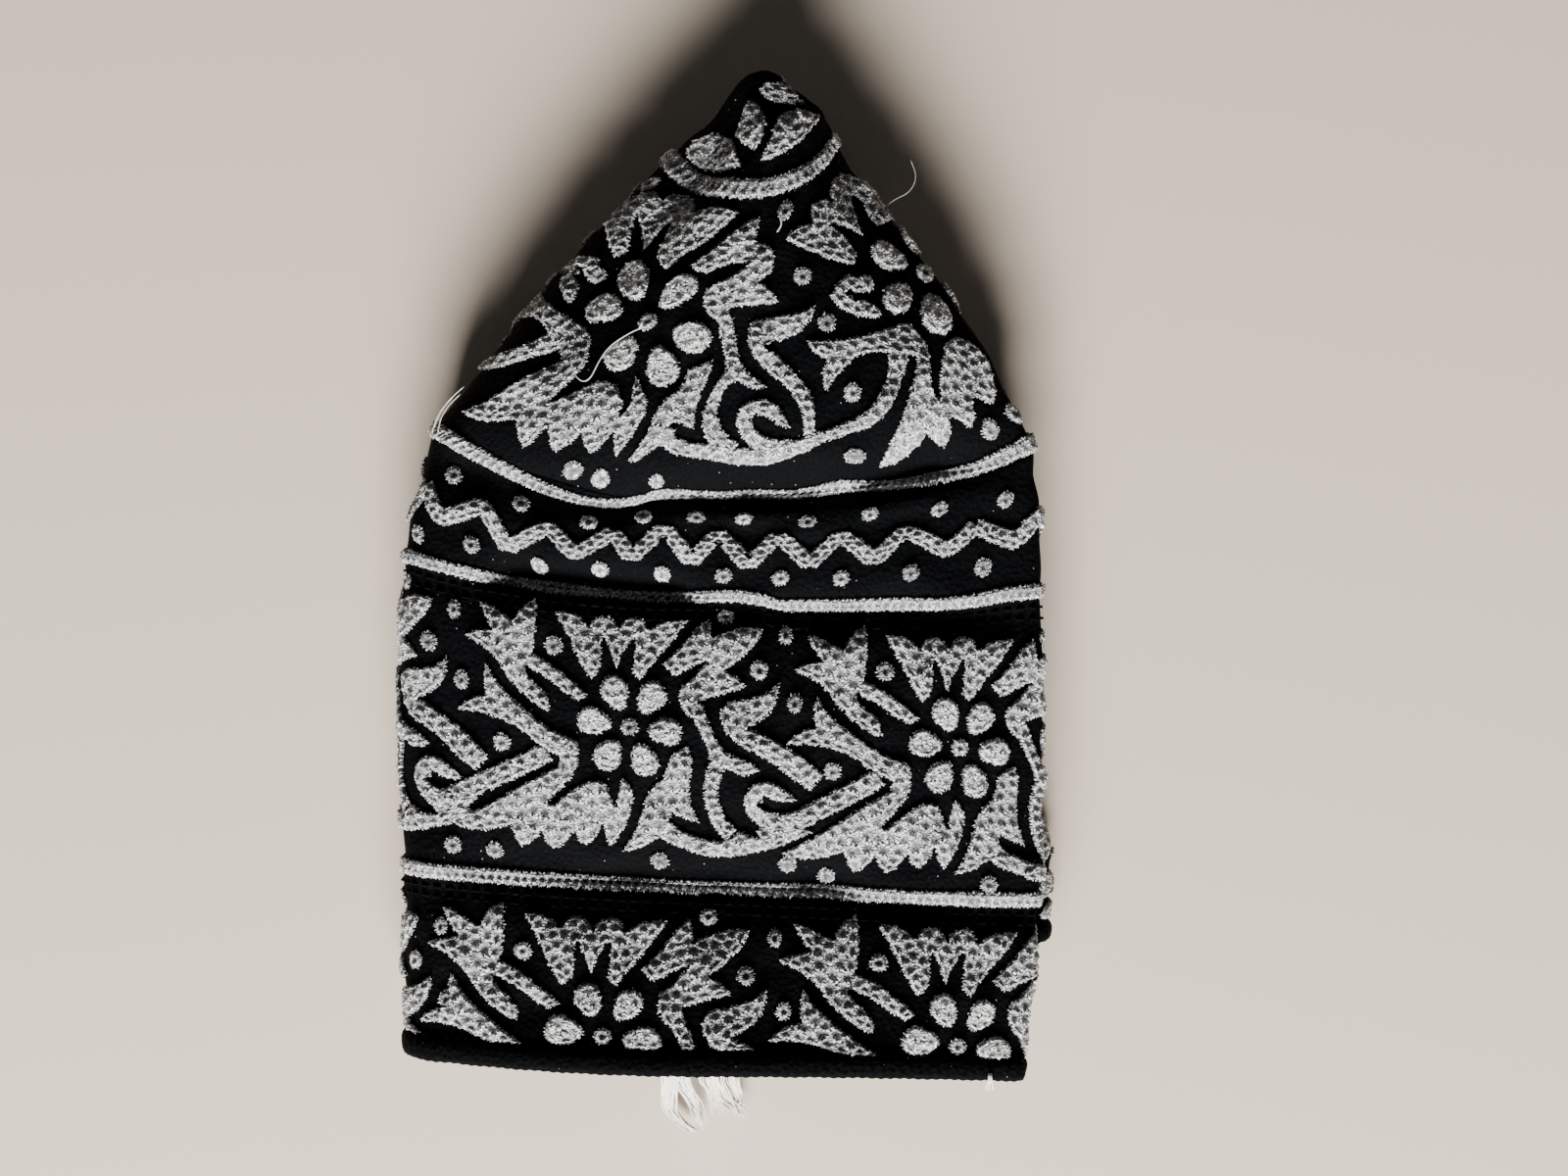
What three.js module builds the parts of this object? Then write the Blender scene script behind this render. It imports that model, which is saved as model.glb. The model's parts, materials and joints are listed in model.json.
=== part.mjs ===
// A kuma cap: a round crown sewn to a straight side band, with a bound hem. It is folded in half twice,
// into quarters, and lies on its side. Millimetres, +Z up, +Y from the hem towards the crown's tip.
//
// The cloth is one closed loop at each distance from the hem. Folded, that loop is a letter C lying on
// its back: two legs one above the other, joined by a wide wrap on the left, each leg a flat pocket that
// ends in a fold on the right. The head goes between the walls of the legs.
import * as THREE from "three";

const HEAD_LOOP = 580; // round the band, for a head of 58 cm
const HEM_FLARE = 15; // how much longer the loop is at the hem
const FLARE_HEIGHT = 50;
const BAND_HEIGHT = 135; // hem to crown seam
const CROWN_RADIUS = 98; // seam to the crown's middle, along the cloth
const WALL = 1.6; // ground cloth and embroidery together
const SEAM_GAP = 0.3;
const NORMAL_REACH = 1; // how far along the cloth a normal is measured

const BINDING_HEIGHT = 4.5;
const BINDING_WALL = 0.8;
const BINDING_GAP = 0.3;
const BINDING_FOLD_SHARE = 0.5; // flat part of its lower edge

const LENGTH = BAND_HEIGHT + CROWN_RADIUS;

// One row for each section. from_hem is along the cloth. left, right: the outline seen from above.
// y_left, y_middle, y_right: where the section runs on the top layer. bend: degrees that it curves
// through on each side. z_left, z_middle, z_right: height of the top layer. floor: height of the bottom
// layer. pocket: room between the bottom leg's two layers. notch: room between the two legs.
const SECTIONS = [
  { from_hem: 0, left: -82.5, right: 51.5, y_left: -100.8, y_middle: -102, y_right: -106.3, bend: 14,
    z_left: 25, z_middle: 34, z_right: 21.3, floor: 2.4, pocket: 8.2, notch: 4.4 },
  { from_hem: 20, left: -83.6, right: 54.4, y_left: -81.5, y_middle: -83.3, y_right: -87, bend: 14,
    z_left: 23, z_middle: 30, z_right: 19.4, floor: 0.8, pocket: 8.5, notch: 2.6 },
  { from_hem: 40.5, left: -84, right: 56.3, y_left: -61.4, y_middle: -64.4, y_right: -67.6, bend: 14,
    z_left: 21, z_middle: 26, z_right: 17.8, floor: 0.8, pocket: 8.5, notch: 2.2 },
  { from_hem: 72, left: -85, right: 57, y_left: -28.8, y_middle: -34, y_right: -35.5, bend: 14,
    z_left: 20, z_middle: 27.5, z_right: 16.6, floor: 0.8, pocket: 8.5, notch: 2.2 },
  { from_hem: 105.5, left: -84, right: 57, y_left: 5.9, y_middle: -1.7, y_right: -1.3, bend: 20,
    z_left: 20, z_middle: 25, z_right: 16.6, floor: 0.8, pocket: 8.5, notch: 2.2 },
  { from_hem: 120, left: -81.2, right: 56.5, y_left: 19.6, y_middle: 9, y_right: 15, bend: 27,
    z_left: 20, z_middle: 25, z_right: 16.8, floor: 0.8, pocket: 8.5, notch: 2.2 },
  { from_hem: 135, left: -77.8, right: 55, y_left: 34.3, y_middle: 18.1, y_right: 29.8, bend: 34,
    z_left: 21, z_middle: 27, z_right: 18, floor: 0.8, pocket: 8.5, notch: 2.2 },
  { from_hem: 148, left: -69.3, right: 48.5, y_left: 45, y_middle: 27, y_right: 43.4, bend: 38,
    z_left: 23, z_middle: 33, z_right: 20, floor: 0.8, pocket: 8.5, notch: 2.2 },
  { from_hem: 158, left: -62.8, right: 43.6, y_left: 53, y_middle: 36.5, y_right: 53, bend: 41,
    z_left: 24, z_middle: 35, z_right: 21, floor: 0.8, pocket: 8.5, notch: 2.2 },
  { from_hem: 183, left: -45.6, right: 28.2, y_left: 73.5, y_middle: 60.3, y_right: 74.3, bend: 50,
    z_left: 24, z_middle: 35.5, z_right: 21, floor: 2, pocket: 7.5, notch: 2.2 },
  { from_hem: 208.5, left: -26.8, right: 12, y_left: 93.2, y_middle: 82.5, y_right: 95.5, bend: 65,
    z_left: 23, z_middle: 32.5, z_right: 21.5, floor: 5, pocket: 5, notch: 4 },
  { from_hem: 221, left: -15.6, right: 7, y_left: 102, y_middle: 96, y_right: 104.4, bend: 75,
    z_left: 23, z_middle: 29.5, z_right: 22.8, floor: 6, pocket: 6, notch: 5 },
  { from_hem: 233, left: -4, right: -4, y_left: 108.2, y_middle: 108.2, y_right: 108.2, bend: 85,
    z_left: 23, z_middle: 23, z_right: 23, floor: 23, pocket: 0, notch: 0 },
];

// Creases pressed into the top layer. Each is a row of stops across the cap: across runs from -1 on the
// left outline to 1 on the right one, from_hem is where the crease lies and depth how deep it is.
const CREASES = [
  { name: "under the crown", hem_side: 7, tip_side: 6, stops: [
    { across: -1, from_hem: 130, depth: 1.5 },
    { across: -0.6, from_hem: 130.5, depth: 4 },
    { across: -0.25, from_hem: 131, depth: 5.5 },
    { across: 0.05, from_hem: 131.5, depth: 6 },
    { across: 0.4, from_hem: 131.5, depth: 6 },
    { across: 0.7, from_hem: 130, depth: 5 },
    { across: 1, from_hem: 130, depth: 1.5 }] },
  { name: "at the second stripe", hem_side: 5.5, tip_side: 3.5, stops: [
    { across: -1, from_hem: 101, depth: 1 },
    { across: -0.7, from_hem: 101.5, depth: 3 },
    { across: -0.45, from_hem: 106, depth: 5 },
    { across: -0.15, from_hem: 106, depth: 5 },
    { across: 0.05, from_hem: 101, depth: 4.5 },
    { across: 0.6, from_hem: 100.5, depth: 4.5 },
    { across: 1, from_hem: 100, depth: 2 }] },
  { name: "at the lowest stripe", hem_side: 4, tip_side: 4, stops: [
    { across: -1, from_hem: 36.5, depth: 0.8 },
    { across: -0.5, from_hem: 37, depth: 2.6 },
    { across: 0, from_hem: 38.5, depth: 3.6 },
    { across: 0.3, from_hem: 38.5, depth: 3.6 },
    { across: 0.6, from_hem: 36, depth: 3 },
    { across: 1, from_hem: 36, depth: 1.8 }] },
];

const RIGHT_FOLD = 2.3; // radius of the upper leg's fold
const INNER_WRAP_INSET = 9; // cloth to cloth between the two wraps on the left
// Near the crown's tip the folds shrink with the section. Each is at most this share of its half width.
const OUTER_WRAP_SHARE = 0.5;
const RIGHT_FOLD_SHARE = 0.2;
const INNER_WRAP_SHARE = 0.3;
const PAST_OUTLINE = 1.06; // how far past the outline the section goes on bending, as a share of its half
const LIFT_PAST_OUTLINE = 1.1;
// The top layer's creases fade out round both folds, over these shares of the fold.
const CREASE_ENDS_RIGHT = 0.8;
const CREASE_STARTS_LEFT = 0.4;
const LEG_OVERHANG = [ // how far the lower leg's fold stands out past the upper one's
  { from_hem: 0, over: 7 },
  { from_hem: 18, over: 6 },
  { from_hem: 55, over: -6 },
  { from_hem: 120, over: -10 },
  { from_hem: LENGTH, over: 0 },
];
const LOWER_LEG_LIFT = 27; // the lower leg's hem lies this much nearer the tip at its fold
const LIFT_POWER = 1.5;

// The round nose at the crown's middle, before the folds begin.
const NOSE_TILT = THREE.MathUtils.degToRad(25);
const NOSE_ROUND_TO = 2; // crown radius up to which the nose is round
const NOSE_FOLDED_FROM = 12; // crown radius from which the cap is fully folded

// Faces along each stretch of the loop, in order round it.
const STRETCHES = [
  { name: "top", faces: 16 },
  { name: "upper_fold", faces: 5 },
  { name: "upper_back", faces: 8 },
  { name: "inner_wrap", faces: 4 },
  { name: "lower_front", faces: 8 },
  { name: "lower_fold", faces: 5 },
  { name: "bottom", faces: 8 },
  { name: "outer_wrap", faces: 8 },
];
const facesOf = (stretch) => STRETCHES.find(({ name }) => name === stretch).faces;
const BAND_STATIONS = [8, 18, 28, 33.5, 38.5, 43.5, 50, 62, 75, 88, 95, 100, 104, 108.5, 114, 121, 127, 131];
const CROWN_STATIONS = [137.5, 141, 145.5, 152, 162, 174, 186, 196, 204, 211, 217, 222, 226, 229.5];

// Smooth reading of one column of a table whose rows are ordered by the key column. Between two rows it
// never runs past their values.
function readTable(table, key, column, at) {
  const last = table.length - 1;
  let i = 0;
  while (i < last - 1 && at > table[i + 1][key]) i += 1;
  const secant = (k) => (table[k + 1][column] - table[k][column]) / (table[k + 1][key] - table[k][key]);
  const slope = (k) => {
    const before = secant(Math.max(k - 1, 0));
    const after = secant(Math.min(k, last - 1));
    return before * after <= 0 ? 0 : (2 * before * after) / (before + after);
  };
  const row = table[i];
  const next = table[i + 1];
  const span = next[key] - row[key];
  const t = THREE.MathUtils.clamp((at - row[key]) / span, 0, 1);
  const t2 = t * t;
  const t3 = t2 * t;
  return (2 * t3 - 3 * t2 + 1) * row[column] + (t3 - 2 * t2 + t) * span * slope(i)
    + (3 * t2 - 2 * t3) * next[column] + (t3 - t2) * span * slope(i + 1);
}

// The length of the cloth's loop at a distance from the hem.
function loopLength(fromHem) {
  if (fromHem <= BAND_HEIGHT) {
    const share = Math.max(0, 1 - fromHem / FLARE_HEIGHT);
    return HEAD_LOOP + HEM_FLARE * share * share;
  }
  const radius = LENGTH - fromHem;
  const ease = (2 * Math.PI * CROWN_RADIUS - HEAD_LOOP) / (2 * Math.PI * CROWN_RADIUS);
  return 2 * Math.PI * radius * (1 - ease * (radius / CROWN_RADIUS) ** 2);
}

// All the sizes of the section at a distance from the hem.
function sectionAt(fromHem) {
  const row = { from_hem: fromHem };
  for (const column of Object.keys(SECTIONS[0])) {
    if (column !== "from_hem") row[column] = readTable(SECTIONS, "from_hem", column, fromHem);
  }
  row.half = (row.right - row.left) / 2;
  row.middle = (row.right + row.left) / 2;
  row.z_lower_front = row.floor + row.pocket;
  row.z_notch_top = row.z_lower_front + row.notch;
  row.outer_radius = Math.min((row.z_left - row.floor) / 2, row.half * OUTER_WRAP_SHARE);
  row.fold_radius = Math.min(RIGHT_FOLD, row.half * RIGHT_FOLD_SHARE);
  row.z_upper_back = row.z_right - 2 * row.fold_radius;
  row.inner_x = -Math.max(row.half - INNER_WRAP_INSET, row.half * INNER_WRAP_SHARE);
  row.lower_half = row.half + readTable(LEG_OVERHANG, "from_hem", "over", fromHem);
  return row;
}

const smoothstep = (low, high, x) => THREE.MathUtils.smoothstep(x, low, high);

// Height of the top layer across the section, without its creases.
function topHeight(row, across) {
  const end = across < 0 ? row.z_left : row.z_right;
  return row.z_middle + (end - row.z_middle) * across * across;
}

// How deep the creases lie at a place on the top layer.
function creaseDepth(across, fromHem) {
  let depth = 0;
  for (const crease of CREASES) {
    const line = readTable(crease.stops, "across", "from_hem", across);
    const width = fromHem < line ? crease.hem_side : crease.tip_side;
    const fall = Math.exp(-(((fromHem - line) / width) ** 2));
    depth += fall * readTable(crease.stops, "across", "depth", across);
  }
  return depth;
}

// The point of one stretch of the section, as x from the section's middle and z. share runs from 0 to 1
// along the stretch. crease_share says how far the top layer's creases reach there, inward is their way.
function onStretch(row, name, share) {
  const lerp = THREE.MathUtils.lerp;
  const arc = (x, zHigh, zLow, angle) => {
    const radius = (zHigh - zLow) / 2;
    return {
      x: x + radius * Math.cos(angle),
      z: (zHigh + zLow) / 2 + radius * Math.sin(angle),
      inward: { x: -Math.cos(angle), z: -Math.sin(angle) },
    };
  };
  const topStart = -(row.half - row.outer_radius);
  const topEnd = row.half - row.fold_radius;
  const lowerEnd = row.lower_half - row.pocket / 2;
  const wrapTop = topHeight(row, -1);
  const down = { x: 0, z: -1 };
  switch (name) {
    case "top": {
      const x = lerp(topStart, topEnd, share);
      const across = x < 0 ? x / -topStart : x / topEnd;
      return { x, z: topHeight(row, across), inward: down, crease_share: 1, leg: 0 };
    }
    case "upper_fold":
      return { ...arc(topEnd, row.z_right, row.z_upper_back, Math.PI / 2 - Math.PI * share),
        crease_share: 1 - smoothstep(0, CREASE_ENDS_RIGHT, share), leg: 0 };
    case "upper_back":
      return { x: lerp(topEnd, row.inner_x, share),
        z: lerp(row.z_upper_back, row.z_notch_top, smoothstep(0, 1, share)),
        inward: down, crease_share: 0, leg: 0 };
    case "inner_wrap":
      return { ...arc(row.inner_x, row.z_notch_top, row.z_lower_front, Math.PI / 2 + Math.PI * share),
        crease_share: 0, leg: share };
    case "lower_front":
      return { x: lerp(row.inner_x, lowerEnd, share), z: row.z_lower_front,
        inward: down, crease_share: 0, leg: 1 };
    case "lower_fold":
      return { ...arc(lowerEnd, row.z_lower_front, row.floor, Math.PI / 2 - Math.PI * share),
        crease_share: 0, leg: 1 };
    case "bottom":
      return { x: lerp(lowerEnd, topStart, share), z: row.floor, inward: down, crease_share: 0, leg: 1 };
    default: // outer_wrap, from the bottom layer up to the top one
      return { ...arcTall(topStart, row.outer_radius, row.floor, wrapTop, share),
        crease_share: smoothstep(CREASE_STARTS_LEFT, 1, share), leg: 1 - share };
  }
}

// The left wrap: a half ellipse as tall as the whole fold.
function arcTall(x, radius, zLow, zHigh, share) {
  const angle = -Math.PI / 2 - Math.PI * share;
  const reach = Math.cos(angle);
  return {
    x: x + radius * reach,
    z: (zHigh + zLow) / 2 + ((zHigh - zLow) / 2) * Math.sin(angle),
    inward: { x: -reach, z: -Math.sin(angle) },
  };
}

// A place of the folded section in space.
function foldedPoint(row, name, share) {
  const place = onStretch(row, name, share);
  const across = THREE.MathUtils.clamp(place.x / row.half, -PAST_OUTLINE, PAST_OUTLINE);
  if (place.crease_share > 0) {
    const depth = place.crease_share * creaseDepth(THREE.MathUtils.clamp(across, -1, 1), row.from_hem);
    place.x += place.inward.x * depth;
    place.z += place.inward.z * depth;
  }
  const bend = THREE.MathUtils.degToRad(row.bend);
  const yEnd = across < 0 ? row.y_left : row.y_right;
  const turned = across * bend;
  const x = row.middle + (row.half * Math.sin(turned)) / Math.sin(bend)
    + (place.x - across * row.half);
  const sag = (1 - Math.cos(turned)) / (1 - Math.cos(bend));
  const fromLeft = (place.x + row.half) / (2 * row.half);
  const liftShare = THREE.MathUtils.clamp(fromLeft, 0, LIFT_PAST_OUTLINE) ** LIFT_POWER;
  const lift = place.leg * LOWER_LEG_LIFT * liftShare * (1 - row.from_hem / LENGTH);
  return new THREE.Vector3(x, row.y_middle + (yEnd - row.y_middle) * sag + lift, place.z);
}

// The same place on the round nose, which is a tilted circle round the crown's middle.
function nosePoint(radius, turn) {
  const middle = SECTIONS[SECTIONS.length - 1];
  const towardsHem = radius * Math.cos(turn);
  return new THREE.Vector3(
    middle.left + radius * Math.sin(turn),
    middle.y_middle - towardsHem * Math.cos(NOSE_TILT),
    middle.z_middle + towardsHem * Math.sin(NOSE_TILT),
  );
}

// The loop of cloth at a distance from the hem, as points on the middle of the wall.
function loopAt(fromHem) {
  const row = sectionAt(fromHem);
  const points = [];
  for (const { name, faces } of STRETCHES) {
    for (let i = 0; i < faces; i += 1) points.push(foldedPoint(row, name, i / faces));
  }
  const radius = LENGTH - fromHem;
  if (radius >= NOSE_FOLDED_FROM) return points;
  const folded = smoothstep(NOSE_ROUND_TO, NOSE_FOLDED_FROM, radius);
  const turns = turnsOf(points, loopLength(fromHem));
  return points.map((point, i) => nosePoint(radius, turns[i]).lerp(point, folded));
}

// The angle round the crown of each point of a loop, from the middle of the top layer. The top layer and
// the folds beside it keep their true lengths, and the layers underneath share what is left.
function turnsOf(points, length) {
  const count = points.length;
  const along = [0];
  for (let i = 1; i <= count; i += 1) {
    along.push(along[i - 1] + points[i % count].distanceTo(points[i - 1]));
  }
  const topFaces = facesOf("top");
  const middle = along[topFaces / 2];
  const shownEnd = topFaces + facesOf("upper_fold");
  const hiddenEnd = count - facesOf("outer_wrap");
  const right = along[shownEnd] - middle;
  const left = along[count] - along[hiddenEnd] + middle;
  const stretch = (length - right - left) / (along[hiddenEnd] - along[shownEnd]);
  return points.map((_, i) => {
    let distance;
    if (i <= shownEnd) distance = along[i] - middle;
    else if (i <= hiddenEnd) distance = right + (along[i] - along[shownEnd]) * stretch;
    else distance = length - (along[count] - along[i]) - middle;
    return (2 * Math.PI * distance) / length;
  });
}

// Outward normals of the loop at a distance from the hem.
function normalsAt(fromHem) {
  const loop = loopAt(fromHem);
  const low = loopAt(Math.max(fromHem - NORMAL_REACH, 0));
  const high = loopAt(Math.min(fromHem + NORMAL_REACH, LENGTH - NORMAL_REACH / 2));
  const count = loop.length;
  return loop.map((_, i) => {
    const round = loop[(i + 1) % count].clone().sub(loop[(i + count - 1) % count]);
    return round.cross(high[i].clone().sub(low[i])).normalize();
  });
}

// A closed body from rings of points, each ring as long as the others. The last ring joins the first
// one again, or both end in the two given poles.
function bodyOfRings(rings, poles) {
  const positions = [];
  const index = [];
  const count = rings[0].length;
  for (const ring of rings) for (const p of ring) positions.push(p.x, p.y, p.z);
  const at = (j, i) => (j % rings.length) * count + (i % count);
  const last = poles ? rings.length - 1 : rings.length;
  for (let j = 0; j < last; j += 1) {
    for (let i = 0; i < count; i += 1) {
      index.push(at(j, i), at(j, i + 1), at(j + 1, i + 1));
      index.push(at(j, i), at(j + 1, i + 1), at(j + 1, i));
    }
  }
  if (poles) {
    const first = positions.length / 3;
    for (const p of poles) positions.push(p.x, p.y, p.z);
    for (let i = 0; i < count; i += 1) {
      index.push(first, at(0, i + 1), at(0, i));
      index.push(first + 1, at(rings.length - 1, i), at(rings.length - 1, i + 1));
    }
  }
  const geometry = new THREE.BufferGeometry();
  geometry.setAttribute("position", new THREE.Float32BufferAttribute(positions, 3));
  geometry.setIndex(index);
  geometry.computeVertexNormals();
  return geometry;
}

// The wall's inner and outer loops at each station, as rings from the last inner one to the last outer.
// Both edges at the crown seam take the seam's own normals, so they stay apart.
function wallRings(stations) {
  const side = (distance) => stations.map((station) => {
    const atSeam = Math.abs(station - BAND_HEIGHT) <= SEAM_GAP;
    const normals = normalsAt(atSeam ? BAND_HEIGHT : station);
    return loopAt(station).map((p, i) => p.clone().addScaledVector(normals[i], distance));
  });
  return [...side(-WALL / 2).reverse(), ...side(WALL / 2)];
}

function sideBand() {
  return bodyOfRings(wallRings([BINDING_GAP, ...BAND_STATIONS, BAND_HEIGHT - SEAM_GAP / 2]));
}

function crown() {
  const middle = nosePoint(0, 0);
  const out = new THREE.Vector3(0, Math.sin(NOSE_TILT), Math.cos(NOSE_TILT));
  const poles = [-WALL / 2, WALL / 2].map((d) => middle.clone().addScaledVector(out, d));
  return bodyOfRings(wallRings([BAND_HEIGHT + SEAM_GAP / 2, ...CROWN_STATIONS]), poles);
}

// A folded strip that wraps the cut edge of the band, with room for the cloth between its sides.
function hemBinding() {
  const inside = WALL / 2 + BINDING_GAP;
  const outside = inside + BINDING_WALL;
  const fold = -BINDING_WALL;
  const profile = [
    { up: BINDING_HEIGHT, out: -inside },
    { up: BINDING_HEIGHT, out: -outside },
    { up: 0, out: -outside },
    { up: fold, out: -outside * BINDING_FOLD_SHARE },
    { up: fold, out: outside * BINDING_FOLD_SHARE },
    { up: 0, out: outside },
    { up: BINDING_HEIGHT, out: outside },
    { up: BINDING_HEIGHT, out: inside },
    { up: 0, out: inside },
    { up: 0, out: -inside },
  ];
  const low = loopAt(0);
  const high = loopAt(BINDING_HEIGHT);
  const normals = normalsAt(0);
  const rings = profile.map(({ up, out }) => low.map((p, i) => {
    const along = high[i].clone().sub(p).normalize();
    return p.clone().addScaledVector(along, up).addScaledVector(normals[i], out);
  }));
  return bodyOfRings(rings);
}

// A mesh under its node's name, in a plain stand-in colour.
function named(name, geometry, color, roughness) {
  const mesh = new THREE.Mesh(geometry, new THREE.MeshStandardMaterial({ color, roughness, metalness: 0 }));
  mesh.name = name;
  return mesh;
}

const cap = new THREE.Group();
cap.add(named("side_band", sideBand(), 0x8a8a8c, 0.85));
cap.add(named("crown", crown(), 0x96969a, 0.85));
cap.add(named("hem_binding", hemBinding(), 0x16181c, 0.8));

// The origin goes to the middle of the box's underside.
const box = new THREE.Box3().setFromObject(cap, true);
cap.position.set(-(box.min.x + box.max.x) / 2, -(box.min.y + box.max.y) / 2, -box.min.z);

export default cap;
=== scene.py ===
"""The kuma cap's looks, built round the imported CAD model. Objects are in metres in the row frame. Places
on the cloth are in millimetres: along is the way round the cap from the middle of the top layer, and up is
the distance from the hem. On the crown they are the x and y of the flat disc round its middle."""
import json
import math

import bpy
import numpy as np
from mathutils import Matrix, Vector

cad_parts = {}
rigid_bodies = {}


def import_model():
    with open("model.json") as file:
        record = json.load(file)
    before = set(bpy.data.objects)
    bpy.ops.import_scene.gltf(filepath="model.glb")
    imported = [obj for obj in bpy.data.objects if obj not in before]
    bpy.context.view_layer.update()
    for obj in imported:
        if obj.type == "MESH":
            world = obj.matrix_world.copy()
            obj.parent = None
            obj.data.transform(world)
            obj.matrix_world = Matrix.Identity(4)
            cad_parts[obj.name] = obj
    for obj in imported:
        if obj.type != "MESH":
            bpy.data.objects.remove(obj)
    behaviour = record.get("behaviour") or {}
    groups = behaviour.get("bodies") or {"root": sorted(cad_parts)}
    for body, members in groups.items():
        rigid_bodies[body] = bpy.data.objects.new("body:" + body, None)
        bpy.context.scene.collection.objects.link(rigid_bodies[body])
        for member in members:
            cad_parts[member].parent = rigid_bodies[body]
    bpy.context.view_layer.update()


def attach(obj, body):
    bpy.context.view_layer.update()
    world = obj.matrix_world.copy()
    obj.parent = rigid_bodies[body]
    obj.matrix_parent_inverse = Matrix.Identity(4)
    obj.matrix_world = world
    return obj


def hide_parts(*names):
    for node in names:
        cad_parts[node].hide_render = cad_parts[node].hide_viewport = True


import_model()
random = np.random.default_rng(7)

MM = 0.001
TURN = 2 * math.pi

# Driving sizes in mm, the same as the CAD's
HEAD_LOOP = 580
HEM_FLARE = 15  # how much longer the loop is at the hem
FLARE_HEIGHT = 50
BAND_HEIGHT = 135  # hem to crown seam
CROWN_RADIUS = 98  # seam to the crown's middle, along the cloth
LENGTH = BAND_HEIGHT + CROWN_RADIUS
RIGHT_FOLD = 2.3  # radius of the upper leg's fold
INNER_WRAP_INSET = 9
OUTER_WRAP_SHARE = 0.5
RIGHT_FOLD_SHARE = 0.2
INNER_WRAP_SHARE = 0.3
PAST_OUTLINE = 1.06  # how far past the outline the section goes on bending, as a share of its half
LIFT_PAST_OUTLINE = 1.1
CREASE_ENDS_RIGHT = 0.8  # the creases fade out round both folds, over these shares of the fold
CREASE_STARTS_LEFT = 0.4
LOWER_LEG_LIFT = 27  # the lower leg's hem lies this much nearer the tip at its fold
LIFT_POWER = 1.5
NOSE_ROUND_TO = 2  # crown radius up to which the nose is round
NOSE_FOLDED_FROM = 12  # crown radius from which the cap is fully folded
NOSE_TILT = math.radians(12)  # flatter than the CAD's
ROW_SHIFT = np.array([12.5826, -2.2598, 0.0])  # from the sections' own zero to the middle of the CAD box

SECTION_COLUMNS = ("from_hem left right y_left y_middle y_right bend "
                   "z_left z_middle z_right floor pocket notch").split()
SECTIONS = np.array([
    (0, -82.5, 51.5, -100.8, -102, -106.3, 14, 25, 34, 21.3, 2.4, 8.2, 4.4),
    (20, -83.6, 54.4, -81.5, -83.3, -87, 14, 23, 30, 19.4, 0.8, 8.5, 2.6),
    (40.5, -84, 56.3, -61.4, -64.4, -67.6, 14, 21, 26, 17.8, 0.8, 8.5, 2.2),
    (72, -85, 57, -28.8, -34, -35.5, 14, 20, 27.5, 16.6, 0.8, 8.5, 2.2),
    (105.5, -84, 57, 5.9, -1.7, -1.3, 20, 20, 25, 16.6, 0.8, 8.5, 2.2),
    (120, -81.2, 56.5, 19.6, 9, 15, 27, 20, 25, 16.8, 0.8, 8.5, 2.2),
    (135, -77.8, 55, 34.3, 18.1, 29.8, 34, 21, 27, 18, 0.8, 8.5, 2.2),
    (148, -69.3, 48.5, 45, 27, 43.4, 38, 23, 33, 20, 0.8, 8.5, 2.2),
    (158, -62.8, 43.6, 53, 36.5, 53, 41, 24, 35, 21, 0.8, 8.5, 2.2),
    (183, -45.6, 28.2, 73.5, 60.3, 74.3, 50, 24, 35.5, 21, 2, 7.5, 2.2),
    (208.5, -26.8, 12, 93.2, 82.5, 95.5, 65, 23.5, 33.5, 23, 5, 5, 4),
    (221, -15.6, 8, 102, 96, 103.5, 75, 25, 31.5, 25, 9, 6, 5),
    (233, -4, -4, 108, 108, 108, 85, 27, 27, 27, 27, 0, 0),
], float)

# Each crease: how wide it is on the hem's side and on the tip's, then its stops: across, from_hem, depth
CREASES = {
    "under the crown": (5, 6, [
        (-1, 130, 1.5), (-0.6, 130.5, 3), (-0.35, 131, 3.5), (-0.15, 137.5, 4.5), (0.0, 138.7, 5.4),
        (0.2, 138.7, 5.4), (0.33, 137.5, 3.8), (0.48, 138.7, 6), (0.62, 138.7, 6), (0.82, 136, 2),
        (1, 134, 1)]),
    "below the second stripe": (4.5, 4.5, [
        (-1, 101, 1), (-0.7, 101.5, 1.5), (-0.5, 101.5, 0.5), (-0.15, 101, 0.5), (0.05, 101, 2.2),
        (0.6, 100.5, 2.6), (1, 100, 1.2)]),
    "fold under the second stripe": (1.9, 6, [
        (-0.75, 105, 0), (-0.62, 105.1, 5.5), (-0.17, 104.7, 5.5), (-0.02, 105, 0), (1, 105, 0)]),
    "below the lowest stripe": (3.5, 3.5, [
        (-1, 36.5, 0.6), (0, 37, 0.8), (0.4, 36.5, 1.2), (0.6, 36, 1.8), (1, 36, 1.2)]),
    "fold under the lowest stripe": (1.9, 6, [
        (-0.9, 41, 0), (-0.6, 41.2, 1.6), (-0.34, 41.1, 3), (0.32, 39.8, 3), (0.46, 39.4, 0.6),
        (1, 39.2, 0)]),
}
# How far the lower leg's fold stands out past the upper one's: from_hem, distance
LEG_OVERHANG = np.array([(0, 7), (18, 6), (55, -6), (120, -10), (LENGTH, 0)], float)

# How finely each stretch of the loop is followed, and whether it can be seen from outside
STRETCHES = {
    "top": (240, True), "upper_fold": (40, True), "upper_back": (90, False), "inner_wrap": (40, False),
    "lower_front": (90, False), "lower_fold": (50, True), "bottom": (90, False), "outer_wrap": (90, True),
}


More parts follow.
